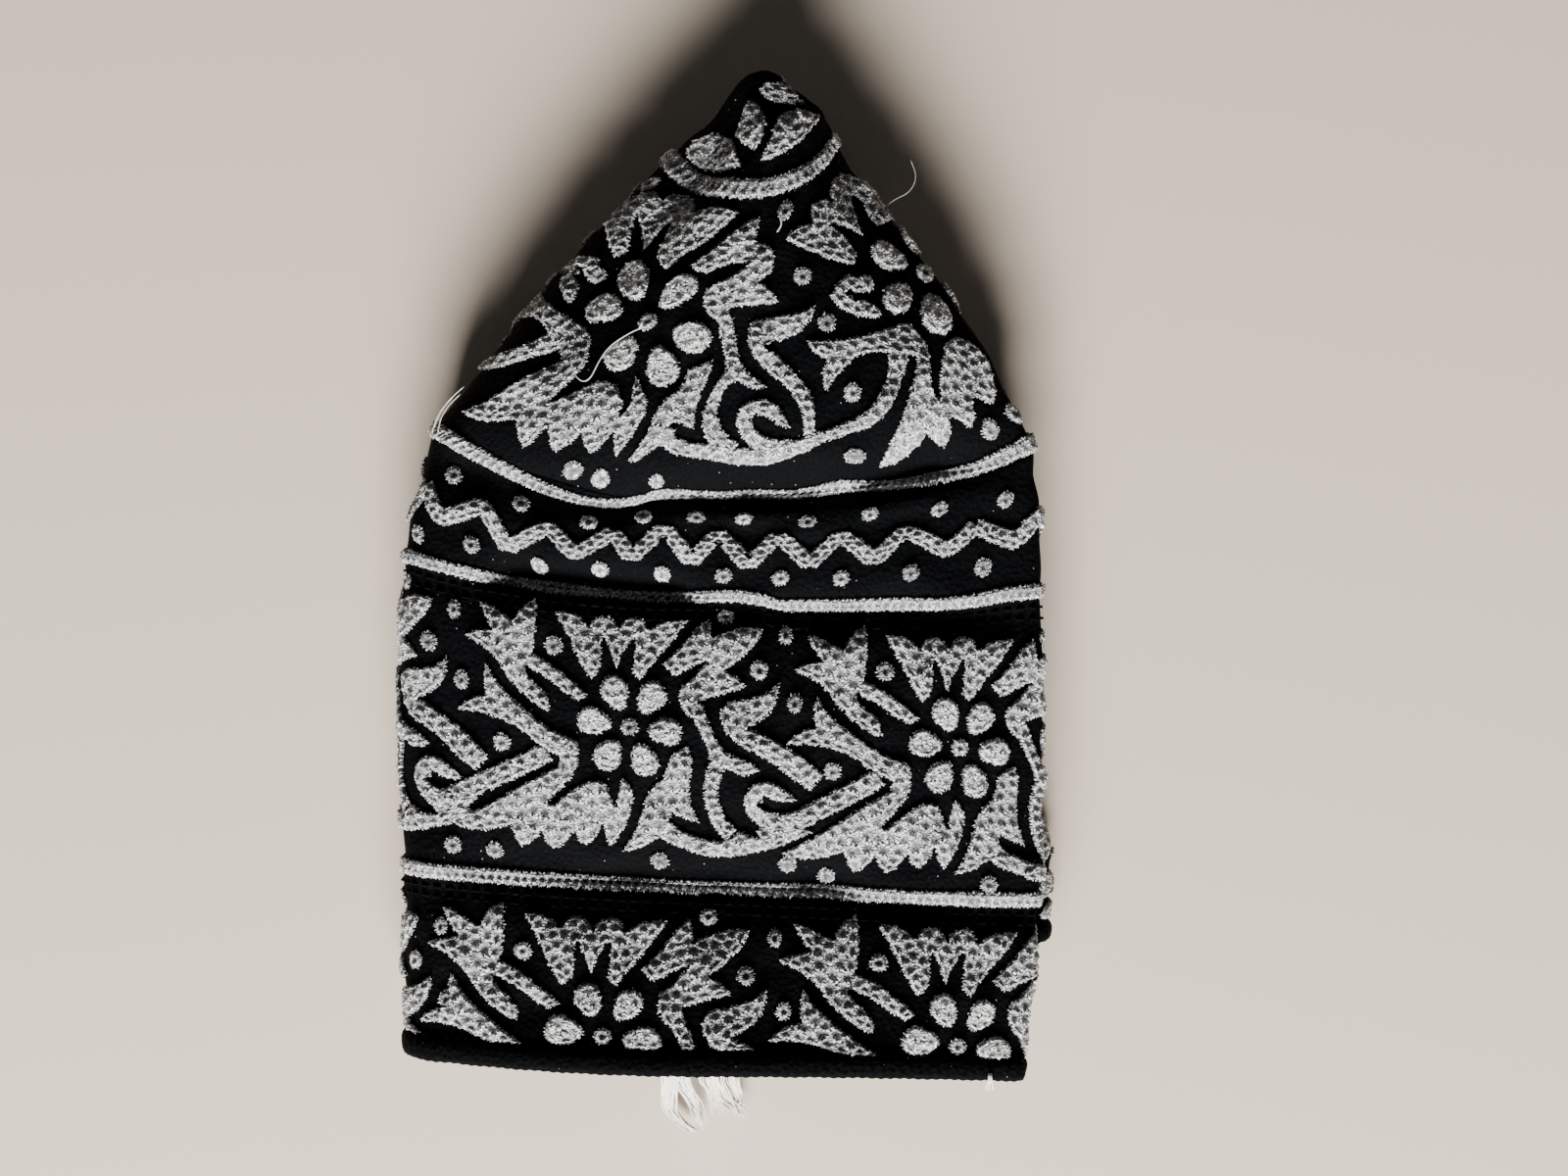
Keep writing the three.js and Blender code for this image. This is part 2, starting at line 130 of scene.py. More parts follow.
def read_column(keys, values, at):
    """Smooth reading of a table's column that never runs past the values on either side."""
    secants = np.diff(values) / np.diff(keys)
    before = np.concatenate([secants[:1], secants])
    after = np.concatenate([secants, secants[-1:]])
    same_way = before * after > 0
    slopes = np.where(same_way, 2 * before * after / np.where(same_way, before + after, 1), 0)
    row = np.clip(np.searchsorted(keys, at, side="left") - 1, 0, len(keys) - 2)
    span = keys[row + 1] - keys[row]
    t = np.clip((at - keys[row]) / span, 0, 1)
    return ((2 * t ** 3 - 3 * t ** 2 + 1) * values[row] + (t ** 3 - 2 * t ** 2 + t) * span * slopes[row]
            + (3 * t ** 2 - 2 * t ** 3) * values[row + 1] + (t ** 3 - t ** 2) * span * slopes[row + 1])


def smoothstep(low, high, x):
    t = np.clip((x - low) / (high - low), 0, 1)
    return t * t * (3 - 2 * t)


def loop_length(from_hem):
    """The length of the cloth's loop at a distance from the hem."""
    from_hem = np.asarray(from_hem, float)
    flare = np.clip(1 - from_hem / FLARE_HEIGHT, 0, 1) ** 2
    radius = np.clip(LENGTH - from_hem, 0, CROWN_RADIUS)
    ease = 1 - HEAD_LOOP / (TURN * CROWN_RADIUS)
    crown = TURN * radius * (1 - ease * (radius / CROWN_RADIUS) ** 2)
    return np.where(from_hem <= BAND_HEIGHT, HEAD_LOOP + HEM_FLARE * flare, crown)


def section_sizes(from_hem):
    """Every size of the folded section at each distance from the hem, as columns."""
    row = {name: read_column(SECTIONS[:, 0], SECTIONS[:, k], from_hem)[:, None]
           for k, name in enumerate(SECTION_COLUMNS)}
    row["from_hem"] = from_hem[:, None]
    row["half"] = np.maximum((row["right"] - row["left"]) / 2, 1e-6)
    row["middle"] = (row["right"] + row["left"]) / 2
    row["z_lower_front"] = row["floor"] + row["pocket"]
    row["z_notch_top"] = row["z_lower_front"] + row["notch"]
    row["outer_radius"] = np.minimum((row["z_left"] - row["floor"]) / 2, row["half"] * OUTER_WRAP_SHARE)
    row["fold_radius"] = np.minimum(RIGHT_FOLD, row["half"] * RIGHT_FOLD_SHARE)
    row["z_upper_back"] = row["z_right"] - 2 * row["fold_radius"]
    row["inner_x"] = -np.maximum(row["half"] - INNER_WRAP_INSET, row["half"] * INNER_WRAP_SHARE)
    row["lower_half"] = row["half"] + read_column(LEG_OVERHANG[:, 0], LEG_OVERHANG[:, 1], from_hem)[:, None]
    return row


def crease_depth(across, from_hem):
    """How deep the creases lie at places on the top layer."""
    depth = 0
    for hem_side, tip_side, stops in CREASES.values():
        stops = np.array(stops, float)
        line = read_column(stops[:, 0], stops[:, 1], across)
        width = np.where(from_hem < line, hem_side, tip_side)
        fall = np.exp(-(((from_hem - line) / width) ** 2))
        depth = depth + fall * read_column(stops[:, 0], stops[:, 2], across)
    return depth


def stretch_points(row, name, share):
    """One stretch of the sections: x, z, the way inward in both, the creases' reach and the lower leg's."""
    one = np.ones_like(row["half"] * share)
    none = 0 * one
    top_start = -(row["half"] - row["outer_radius"])
    top_end = row["half"] - row["fold_radius"]
    lower_end = row["lower_half"] - row["pocket"] / 2
    if name == "top":
        x = top_start + (top_end - top_start) * share
        across = np.where(x < 0, x / -top_start, x / top_end)
        end = np.where(across < 0, row["z_left"], row["z_right"])
        return x, row["z_middle"] + (end - row["z_middle"]) * across ** 2, none, -one, one, none
    if name == "upper_back":
        z = row["z_upper_back"] + (row["z_notch_top"] - row["z_upper_back"]) * smoothstep(0, 1, share)
        return top_end + (row["inner_x"] - top_end) * share, z, none, -one, none, none
    if name == "lower_front":
        x = row["inner_x"] + (lower_end - row["inner_x"]) * share
        return x, row["z_lower_front"] + none, none, -one, none, one
    if name == "bottom":
        return lower_end + (top_start - lower_end) * share, row["floor"] + none, none, -one, none, one
    if name == "outer_wrap":
        angle = -math.pi / 2 - math.pi * share
        rise = (row["z_left"] - row["floor"]) / 2
        x = top_start + row["outer_radius"] * np.cos(angle)
        z = row["floor"] + rise + rise * np.sin(angle)
        creases = smoothstep(CREASE_STARTS_LEFT, 1, share)
        return x, z, -np.cos(angle) * one, -np.sin(angle) * one, creases * one, (1 - share) * one
    if name == "inner_wrap":
        middle, high, low, way = row["inner_x"], row["z_notch_top"], row["z_lower_front"], 1
        creases, leg = none, share * one
    elif name == "upper_fold":
        middle, high, low, way = top_end, row["z_right"], row["z_upper_back"], -1
        creases, leg = (1 - smoothstep(0, CREASE_ENDS_RIGHT, share)) * one, none
    else:
        middle, high, low, way = lower_end, row["z_lower_front"], row["floor"], -1
        creases, leg = none, one
    angle = math.pi / 2 + way * math.pi * share
    radius = (high - low) / 2
    x = middle + radius * np.cos(angle)
    z = (high + low) / 2 + radius * np.sin(angle)
    return x, z, -np.cos(angle) * one, -np.sin(angle) * one, creases, leg


def folded_loops(from_hem):
    """Points on the middle of the cloth round each loop, and whether each place round it can be seen."""
    row = section_sizes(from_hem)
    parts = []
    seen = []
    for name, (count, visible) in STRETCHES.items():
        share = (np.arange(count) / count)[None, :]
        parts.append(stretch_points(row, name, share))
        seen += [visible] * count
    x, z, inward_x, inward_z, creases, leg = [np.concatenate(part, axis=1) for part in zip(*parts)]
    half = row["half"]
    across = np.clip(x / half, -PAST_OUTLINE, PAST_OUTLINE)
    depth = creases * crease_depth(np.clip(across, -1, 1), row["from_hem"] + 0 * x)
    x = x + inward_x * depth
    z = z + inward_z * depth
    bend = np.radians(row["bend"])
    y_end = np.where(across < 0, row["y_left"], row["y_right"])
    turned = across * bend
    sag = (1 - np.cos(turned)) / (1 - np.cos(bend))
    from_left = np.clip((x + half) / (2 * half), 0, LIFT_PAST_OUTLINE)
    lift = leg * LOWER_LEG_LIFT * from_left ** LIFT_POWER * (1 - row["from_hem"] / LENGTH)
    flat_x = row["middle"] + half * np.sin(turned) / np.sin(bend) + (x - across * half)
    flat_y = row["y_middle"] + (y_end - row["y_middle"]) * sag + lift
    return np.stack([flat_x, flat_y, z], axis=2), np.array(seen, float)


def loop_turns(points, length):
    """The turn round the cap of each point of the loops. The layers underneath share what is left."""
    steps = np.linalg.norm(np.roll(points, -1, axis=1) - points, axis=2)
    along = np.concatenate([np.zeros((len(points), 1)), np.cumsum(steps, axis=1)], axis=1)
    counts = [count for count, _ in STRETCHES.values()]
    shown_end = counts[0] + counts[1]
    hidden_end = sum(counts) - counts[-1]
    middle = along[:, counts[0] // 2, None]
    total = along[:, -1, None]
    right = along[:, shown_end, None] - middle
    left = total - along[:, hidden_end, None] + middle
    hidden = along[:, hidden_end, None] - along[:, shown_end, None]
    stretch = (length[:, None] - right - left) / hidden
    index = np.arange(sum(counts))
    place = along[:, :-1]
    hidden = right + (place - along[:, shown_end, None]) * stretch
    distance = np.where(index <= shown_end, place - middle, hidden)
    distance = np.where(index > hidden_end, length[:, None] - (total - place) - middle, distance)
    return TURN * distance / length[:, None]


FLOOR_GAP = 0.05  # mm, nothing lies lower over the floor
GRID_STEP = 0.75  # mm between the loops that the cloth is worked out on
GRID_TURNS = 960
LAST_ROW_GAP = 0.05  # mm that the grid stops short of the crown's middle
HEM_FADE = 12  # mm from the hem over which the dents fade in
TIP_FADE = 14
FLOOR_FADE = (1, 4)  # mm over the floor
SMOOTH_ALONG = 1.3  # mm, softens the corners between the stretches
DENTS = 0.18  # mm, how far the soft dents in the cloth go
PUCKERS = ((9, 31, 0.3), (17, 23, 1.9), (6, 47, 4.1), (23, 14, 5.2), (31, 19, 2.6), (13, 11, 3.5))


def soft_dents(turn, from_hem):
    """Soft dents in the cloth: the sum of a few waves, each with its count round the cap and its length."""
    total = 0
    for waves, length, phase in PUCKERS:
        total = total + np.sin(waves * turn + TURN * from_hem / length + phase)
        total = total + np.sin(waves * turn - TURN * from_hem / (length * 0.8) + 2 * phase)
    return DENTS * total / math.sqrt(len(PUCKERS))


def cloth_grid():
    """The cloth's middle in the row frame, its outward normals and where it can be seen, on an even grid of
    distances from the hem and turns round the cap."""
    rows = int(round(LENGTH / GRID_STEP)) + 1
    from_hem = np.linspace(0, LENGTH - LAST_ROW_GAP, rows)
    length = loop_length(from_hem)
    points, seen = folded_loops(from_hem)
    turns = loop_turns(points, length)
    radius = (LENGTH - from_hem)[:, None]
    towards_hem = radius * np.cos(turns)
    nose = np.stack([SECTIONS[-1, 1] + radius * np.sin(turns),
                     SECTIONS[-1, 4] - towards_hem * math.cos(NOSE_TILT),
                     SECTIONS[-1, 8] + towards_hem * math.sin(NOSE_TILT)], axis=2)
    folded = smoothstep(NOSE_ROUND_TO, NOSE_FOLDED_FROM, radius)[:, :, None]
    points = nose + (points - nose) * folded
    even = TURN * np.arange(GRID_TURNS) / GRID_TURNS
    grid = np.zeros((rows, GRID_TURNS, 3))
    shown = np.zeros((rows, GRID_TURNS))
    for k in range(rows):
        where = np.concatenate([turns[k], turns[k, :1] + TURN])
        wrapped = np.where(even > where[-1], even - TURN, even)
        for axis in range(3):
            closed = np.concatenate([points[k, :, axis], points[k, :1, axis]])
            grid[k, :, axis] = np.interp(wrapped, where, closed)
        shown[k] = np.interp(wrapped, where, np.concatenate([seen, seen[:1]]))
    waves = np.fft.rfft(grid, axis=1)
    frequency = np.arange(waves.shape[1])[None, :, None] * TURN / np.maximum(length, 1)[:, None, None]
    grid = np.fft.irfft(waves * np.exp(-(frequency * SMOOTH_ALONG) ** 2 / 2), GRID_TURNS, axis=1)
    round_way = np.roll(grid, -1, axis=1) - np.roll(grid, 1, axis=1)
    normals = np.cross(round_way, np.gradient(grid, axis=0))
    normals /= np.maximum(np.linalg.norm(normals, axis=2, keepdims=True), 1e-9)
    normals[-1] = normals[-2]
    turn_grid, hem_grid = np.meshgrid(even, from_hem)
    fade = smoothstep(0, HEM_FADE, hem_grid) * smoothstep(0, TIP_FADE, LENGTH - hem_grid) * shown
    on_floor = smoothstep(*FLOOR_FADE, grid[:, :, 2])
    grid = grid + normals * (soft_dents(turn_grid, hem_grid) * fade * on_floor)[:, :, None]
    return grid + ROW_SHIFT, normals, shown


GRID, NORMALS, SHOWN = cloth_grid()


def read_grid(grid, turn, from_hem):
    """A grid's value at places on the cloth, between its four nearest points."""
    rows = len(grid)
    down = np.clip(from_hem / (LENGTH - LAST_ROW_GAP) * (rows - 1), 0, rows - 1.001)
    across = np.mod(turn / TURN, 1) * GRID_TURNS
    row = down.astype(int)
    column = across.astype(int)
    fall = down - row
    go = across - column
    if grid.ndim == 3:
        fall = fall[..., None]
        go = go[..., None]
    column = column % GRID_TURNS
    after = (column + 1) % GRID_TURNS
    low = grid[row, column] * (1 - go) + grid[row, after] * go
    high = grid[row + 1, column] * (1 - go) + grid[row + 1, after] * go
    return low * (1 - fall) + high * fall


def on_cloth(turn, from_hem, height):
    """Points at a height in mm over the middle of the cloth, in metres."""
    normal = read_grid(NORMALS, turn, from_hem)
    normal /= np.linalg.norm(normal, axis=-1, keepdims=True)
    points = (read_grid(GRID, turn, from_hem) + normal * np.asarray(height)[..., None]) * MM
    points[..., 2] = np.maximum(points[..., 2], FLOOR_GAP * MM)
    return points


def add_mesh(name, points, faces, body="root", tones=None, uvs=None, corner_uvs=None):
    """A mesh object from arrays: points in metres, faces as rows of equal length."""
    mesh = bpy.data.meshes.new(name)
    points = np.asarray(points, np.float32)
    faces = np.asarray(faces, np.int32)
    corners = faces.shape[1]
    mesh.vertices.add(len(points))
    mesh.vertices.foreach_set("co", points.ravel())
    mesh.loops.add(faces.size)
    mesh.loops.foreach_set("vertex_index", faces.ravel())
    mesh.polygons.add(len(faces))
    mesh.polygons.foreach_set("loop_start", np.arange(0, faces.size, corners, dtype=np.int32))
    mesh.polygons.foreach_set("loop_total", np.full(len(faces), corners, np.int32))
    mesh.polygons.foreach_set("use_smooth", np.full(len(faces), True))
    if tones is not None:
        colours = np.ones((len(points), 4), np.float32)
        colours[:, :3] = np.asarray(tones, np.float32)[:, None]
        mesh.attributes.new("tone", "FLOAT_COLOR", "POINT").data.foreach_set("color", colours.ravel())
    if uvs is not None:
        layer = mesh.uv_layers.new(name="cloth")
        layer.data.foreach_set("uv", np.asarray(uvs, np.float32)[faces.ravel()].ravel())
    if corner_uvs is not None:
        layer = mesh.uv_layers.new(name="cell")
        layer.data.foreach_set("uv", np.asarray(corner_uvs, np.float32).ravel())
    mesh.update(calc_edges=True)
    mesh.validate()
    piece = bpy.data.objects.new(name, mesh)
    bpy.context.scene.collection.objects.link(piece)
    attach(piece, body)
    return piece


def grid_faces(rows, columns):
    """Quads of a sheet of rows by columns of points that closes on itself along the rows."""
    row, column = np.meshgrid(np.arange(rows - 1), np.arange(columns), indexing="ij")
    after = (column + 1) % columns
    quad = np.stack([row * columns + column, row * columns + after,
                     (row + 1) * columns + after, (row + 1) * columns + column], axis=-1)
    return quad.reshape(-1, 4)


GROUND_TOP = 0.0  # mm over the middle of the cloth
GROUND_UNDER = -0.8
OUTER_STEP = 1.5  # mm between the rows of points on the cloth's outer side
INNER_STEP = 4.5
MAP_UNIT = 10  # mm of cloth for one unit of its map
SEAM_HALF = 0.15
HEM_GAP = 0.3
TIP_GAP = 0.4
BAND_COLUMNS = 400
CROWN_COLUMNS = 300


def cloth_wall(name, start, end, columns):
    """A closed wall of cloth between two distances from the hem: the outer side, then the inner one."""
    out = np.linspace(start, end, int((end - start) / OUTER_STEP))
    back = np.linspace(end, start, int((end - start) / INNER_STEP))
    from_hem = np.concatenate([out, back, out[:1]])
    height = np.concatenate([np.full(len(out), GROUND_TOP), np.full(len(back), GROUND_UNDER), [GROUND_TOP]])
    turn = TURN * np.arange(columns) / columns
    turns, distances = np.meshgrid(turn, from_hem)
    points = on_cloth(turns, distances, np.repeat(height[:, None], columns, axis=1))
    rows = len(from_hem) - 1
    points = points[:rows].reshape(-1, 3)
    faces = grid_faces(rows + 1, columns) % (rows * columns)
    uvs = np.stack([turns[:rows].ravel() / TURN * HEAD_LOOP, distances[:rows].ravel()], axis=1) / MAP_UNIT
    return add_mesh(name, points, faces, uvs=uvs)


band = cloth_wall("band_cloth", HEM_GAP, BAND_HEIGHT - SEAM_HALF, BAND_COLUMNS)
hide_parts("side_band")
crown = cloth_wall("crown_cloth", BAND_HEIGHT + SEAM_HALF, LENGTH - TIP_GAP, CROWN_COLUMNS)
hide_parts("crown")


# Embroidery. Every shape is filled with stitch cells: threads that run out from one needle hole.
PITCH = 2.75  # mm between needle holes
RAYS = 18
MASK_STEP = 0.13  # mm, how finely an outline is followed
SETTLE_ROUNDS = 7
SHARP_TURN = 48  # degrees; a blunter corner of a charted outline is rounded
ROUNDINGS = 2
CORNER_CUT = 0.25
PETAL_POINTS = 18
PETAL_TAPER = 0.22
CELL_AREA = 0.9  # of a square as wide as the pitch
SAMPLES_PER_HOLE = 60
FEWEST_SAMPLES = 200
RAY_JITTER = 0.08
TIP_NEAR = 1.6  # pitches from a hole to a sharp tip that one of its rays runs to
LONGEST_RAY = 1.7
CELL_OVERLAP = 1.03
HOLE_SHIFT = np.array([0, 0.22])  # how far a hole is moved, as a share of the cell's room
DOT_TURN = 0.4
DOT_REACH = (0.93, 1.05)


def smooth_outline(points):
    """Rounds the blunt corners of a charted outline and keeps its sharp tips, which it also returns."""
    points = np.array(points, float)
    x, y = points.T
    if np.sum(x * np.roll(y, -1) - y * np.roll(x, -1)) < 0:
        points = points[::-1]
    tips = []
    for turn in range(ROUNDINGS):
        before = np.roll(points, 1, axis=0)
        after = np.roll(points, -1, axis=0)
        way_in = np.arctan2(*(points - before).T[::-1])
        way_out = np.arctan2(*(after - points).T[::-1])
        bend = np.degrees((way_out - way_in + math.pi) % TURN - math.pi)
        rounded = []
        for k, point in enumerate(points):
            if turn == 0 and abs(bend[k]) > SHARP_TURN:
                tips.append(tuple(point))
            if tuple(point) in tips:
                rounded.append(point)
            else:
                rounded += [point + CORNER_CUT * (other - point) for other in (before[k], after[k])]
        points = np.array(rounded)
    return points, np.array(tips).reshape(-1, 2)


def stroke(line, width):
    """The outline of a line of even width."""
    line = np.array(line, float)
    step = np.diff(line, axis=0)
    step /= np.linalg.norm(step, axis=1, keepdims=True)
    inward = np.concatenate([step[:1], step])
    outward = np.concatenate([step, step[-1:]])
    way = inward + outward
    way /= np.linalg.norm(way, axis=1, keepdims=True)
    mitre = np.clip(np.sum(way * inward, axis=1), 0.5, 1)[:, None]
    side = np.stack([-way[:, 1], way[:, 0]], axis=1) * width / 2 / mitre
    return np.concatenate([line - side, (line + side)[::-1]])


def teardrop(centre, length, width, angle):
    """A petal: an oval that is narrower towards the flower's middle, at the far side from angle."""
    t = TURN * np.arange(PETAL_POINTS) / PETAL_POINTS
    radial = length / 2 * np.cos(t)
    across = width / 2 * np.sin(t) * (1 + PETAL_TAPER * np.cos(t))
    x = centre[0] + radial * math.cos(angle) - across * math.sin(angle)
    y = centre[1] + radial * math.sin(angle) + across * math.cos(angle)
    return np.stack([x, y], axis=1)


class Mask:
    """Which places lie inside an outline, between the two limits in y."""

    def __init__(self, outline, limits=None):
        self.low = outline.min(axis=0) - 2 * MASK_STEP
        across, up = (np.ceil((outline.max(axis=0) - self.low) / MASK_STEP) + 3).astype(int)
        self.x, self.y = np.meshgrid(self.low[0] + MASK_STEP * np.arange(across),
                                     self.low[1] + MASK_STEP * np.arange(up))
        self.inside = np.zeros(self.x.shape, bool)
        for (x1, y1), (x2, y2) in zip(outline, np.roll(outline, -1, axis=0)):
            if y1 != y2:
                crosses = (y1 > self.y) != (y2 > self.y)
                self.inside ^= crosses & (self.x < (x2 - x1) * (self.y - y1) / (y2 - y1) + x1)
        if limits:
            self.inside &= (self.y > limits[0]) & (self.y < limits[1])

    def holds(self, places):
        index = np.round((places - self.low) / MASK_STEP).astype(int)
        rows, columns = self.inside.shape
        column = np.clip(index[..., 0], 0, columns - 1)
        row = np.clip(index[..., 1], 0, rows - 1)
        return self.inside[row, column]

    def reach(self, centres, ways, limit):
        """How far each ray runs before it leaves the mask."""
        steps = np.arange(1, int(limit / MASK_STEP) + 1) * MASK_STEP
        places = centres[:, None, None, :] + ways[:, :, None, :] * steps[None, None, :, None]
        inside = self.holds(places)
        first_out = np.where(inside.all(axis=2), len(steps), np.argmin(inside, axis=2))
        return np.where(first_out == 0, 0.5 * MASK_STEP, first_out * MASK_STEP)


def needle_holes(mask, pitch):
    """Evenly spread needle holes inside a mask."""
    spots = np.stack([mask.x[mask.inside], mask.y[mask.inside]], axis=1)
    if not len(spots):
        return np.zeros((0, 2))
    spots = spots[random.permutation(len(spots))]
    count = max(1, round(len(spots) * MASK_STEP ** 2 / (CELL_AREA * pitch ** 2)))
    sample = spots[:max(count * SAMPLES_PER_HOLE, FEWEST_SAMPLES)]
    centres = spots[:1]
    for _ in range(count - 1):  # the next hole is the sample that is furthest from those before
        near = np.min(np.sum((sample[:, None] - centres[None]) ** 2, axis=2), axis=1)
        centres = np.concatenate([centres, sample[np.argmax(near)][None]])
    for _ in range(SETTLE_ROUNDS):
        owner = np.argmin(np.sum((sample[:, None] - centres[None]) ** 2, axis=2), axis=1)
        for k in range(count):
            if np.any(owner == k):
                centres[k] = sample[owner == k].mean(axis=0)
    outside = ~mask.holds(centres)
    for k in np.nonzero(outside)[0]:
        centres[k] = sample[np.argmin(np.sum((sample - centres[k]) ** 2, axis=1))]
    return centres


def fill_cells(outline, tips=(), limits=None, pitch=PITCH, holes=None):
    """Stitch cells inside an outline: their holes, their rays' angles and reach, and which rays end at the
    outline. A ray also ends halfway to the next hole."""
    mask = Mask(outline, limits)
    holes = needle_holes(mask, pitch) if holes is None else holes
    count = len(holes)
    angles = TURN * np.arange(RAYS) / RAYS + random.uniform(0, TURN, (count, 1))
    angles = angles + random.uniform(-RAY_JITTER, RAY_JITTER, (count, RAYS))
    if count and len(tips):
        for tip in tips:
            near = np.argmin(np.sum((holes - tip) ** 2, axis=1))
            way = tip - holes[near]
            if np.hypot(*way) < TIP_NEAR * pitch:
                turned = math.atan2(way[1], way[0])
                away = np.abs((angles[near] - turned + math.pi) % TURN - math.pi)
                angles[near, np.argmin(away)] = turned
    angles = np.sort(angles % TURN, axis=1)
    ways = np.stack([np.cos(angles), np.sin(angles)], axis=2)
    outer = mask.reach(holes, ways, LONGEST_RAY * pitch)
    between = holes[None] - holes[:, None]
    apart = np.sum(between ** 2, axis=2) / 2
    towards = np.einsum("irc,ijc->irj", ways, between)
    halfway = np.where(towards > 1e-6, apart[:, None, :] / np.maximum(towards, 1e-6), np.inf)
    halfway = np.where(apart[:, None, :] > 0, halfway, np.inf).min(axis=2, initial=np.inf)
    reach = np.minimum(outer, halfway * CELL_OVERLAP)
    return {"holes": holes, "angles": angles, "reach": reach, "edge": outer < halfway}


def shift_holes(cells):
    """Moves each hole inside its cell, so that the threads on one side of it are shorter."""
    ways = np.stack([np.cos(cells["angles"]), np.sin(cells["angles"])], axis=2)
    ends = cells["holes"][:, None] + ways * cells["reach"][:, :, None]
    room = cells["reach"].min(axis=1, keepdims=True)
    holes = cells["holes"] + HOLE_SHIFT * room
    rays = ends - holes[:, None]
    return {"holes": holes, "angles": np.arctan2(rays[..., 1], rays[..., 0]), "reach": np.hypot(*rays.T).T,
            "edge": cells["edge"]}


def dot_cell(x, y, across, tall=None):
    """One round stitch dot, as a single cell."""
    tall = tall or across
    angles = np.sort(TURN * np.arange(RAYS) / RAYS + random.uniform(0, DOT_TURN))[None]
    reach = across * tall / np.hypot(tall * np.cos(angles), across * np.sin(angles))
    reach = reach * random.uniform(*DOT_REACH, (1, RAYS))
    return {"holes": np.array([[x, y]], float), "angles": angles, "reach": reach,
            "edge": np.ones((1, RAYS), bool)}


# Rings of a cell: the share of its reach, the height over the middle of the cloth in mm, and the tone.
# The tone is painted shade, darker where the cell is lower and darkest at its needle hole.
# Inside a shape a cell is lowest at its needle hole, and rises most from there in the sunk kind. At an
# outline its last ring has the edge's height instead, which rounds off a dot.
RINGS = {
    "sunk": ((0.0, 0.42, 0.64), (0.3, 0.54, 0.74), (0.65, 0.86, 0.86), (1.0, 1.12, 1.04)),
    "petal": ((0.0, 0.7, 0.9), (0.35, 0.85, 0.96), (0.7, 1.05, 1.06), (1.0, 1.1, 1.12)),
    "dot": ((0.0, 0.25, 0.4), (0.28, 0.5, 0.6), (0.65, 0.9, 0.9), (1.0, 0.7, 0.86)),
    "plain": ((0.0, 0.5, 0.45), (1.0, 0.75, 0.9)),
}
MEAN_SHADE = 0.93
CELL_SHADE = (-0.1, 0.08)  # how far the cells differ in tone
DOT_UNEVEN = 3.5  # times as far for the dots
RAY_SHADE = (-0.15, 0.15)
RIDGE_PAINTED_LIGHT = 0.17  # painted highlight on the higher rays and painted shade on the lower, by turns, or two by two in a dot as lit spokes and shaded gaps
RIDGE = 0.1  # mm, how much higher and lower they are by turns
WOBBLE = (-0.08, 0.08)  # mm
EDGE_HEIGHT = 0.55
# painted shade on a shape's last ring, which is lowered where it ends at the outline
EDGE_PAINTED_SHADE = 0.86
EDGE_INSET = 0.3  # mm that the solid part of a shape ends inside its outline, where single threads go on
SHORTEST_SHARE = 0.4  # of a ray's reach that stays in any case
TEETH = (-0.12, 0.12)  # mm, how unevenly the solid part ends
SKIRT_OUT = 0.06  # mm that the shape's foot lies outside its edge
SKIRT_HEIGHT = -0.15
# painted shade at the shape's foot, where it meets the ground cloth
SKIRT_PAINTED_SHADE = 0.5
SKIRT_SHARE = 1.1  # where the foot lies in the cell map
TIP_ROOT = 0.75  # mm that a thread tip starts inside the outline
TIP_ROOT_SHARE = 0.8  # of the reach, where that is less
TIP_PAST = (-0.08, 0.42)  # mm that it ends outside it
TIP_HALF_WIDTH = (0.12, 0.19)
TIP_BETWEEN = (0.35, 0.65)  # where between two rays the second thread of each ray lies
TIP_LEAN = (-0.35, 0.35)
TIP_MIDDLE = (0.5, 0.7)  # of its length, where it is widest
TIP_HEIGHTS = (0.5, 0.62, 0.62, 0.2, 0.1)  # mm, of its five corners
TIP_UNEVEN = (-0.1, 0.12)
TIP_PAINTED_SHADE = (0.8, 1.0, 1.0, 0.9, 0.5)  # of the same corners; painted shade makes the root darker and the corner underneath darkest
TIP_SHADE = (0.7, 1.2)
TIP_MAP = ((0.3, 0.95), (0.34, 0.95), (0.32, 1.1))
PLAIN_LIMIT = 0.75  # mm, as high as stitches may stand where two layers face each other
SEEN_FROM = 0.5  # how much of a place has to be open to view for fine stitches


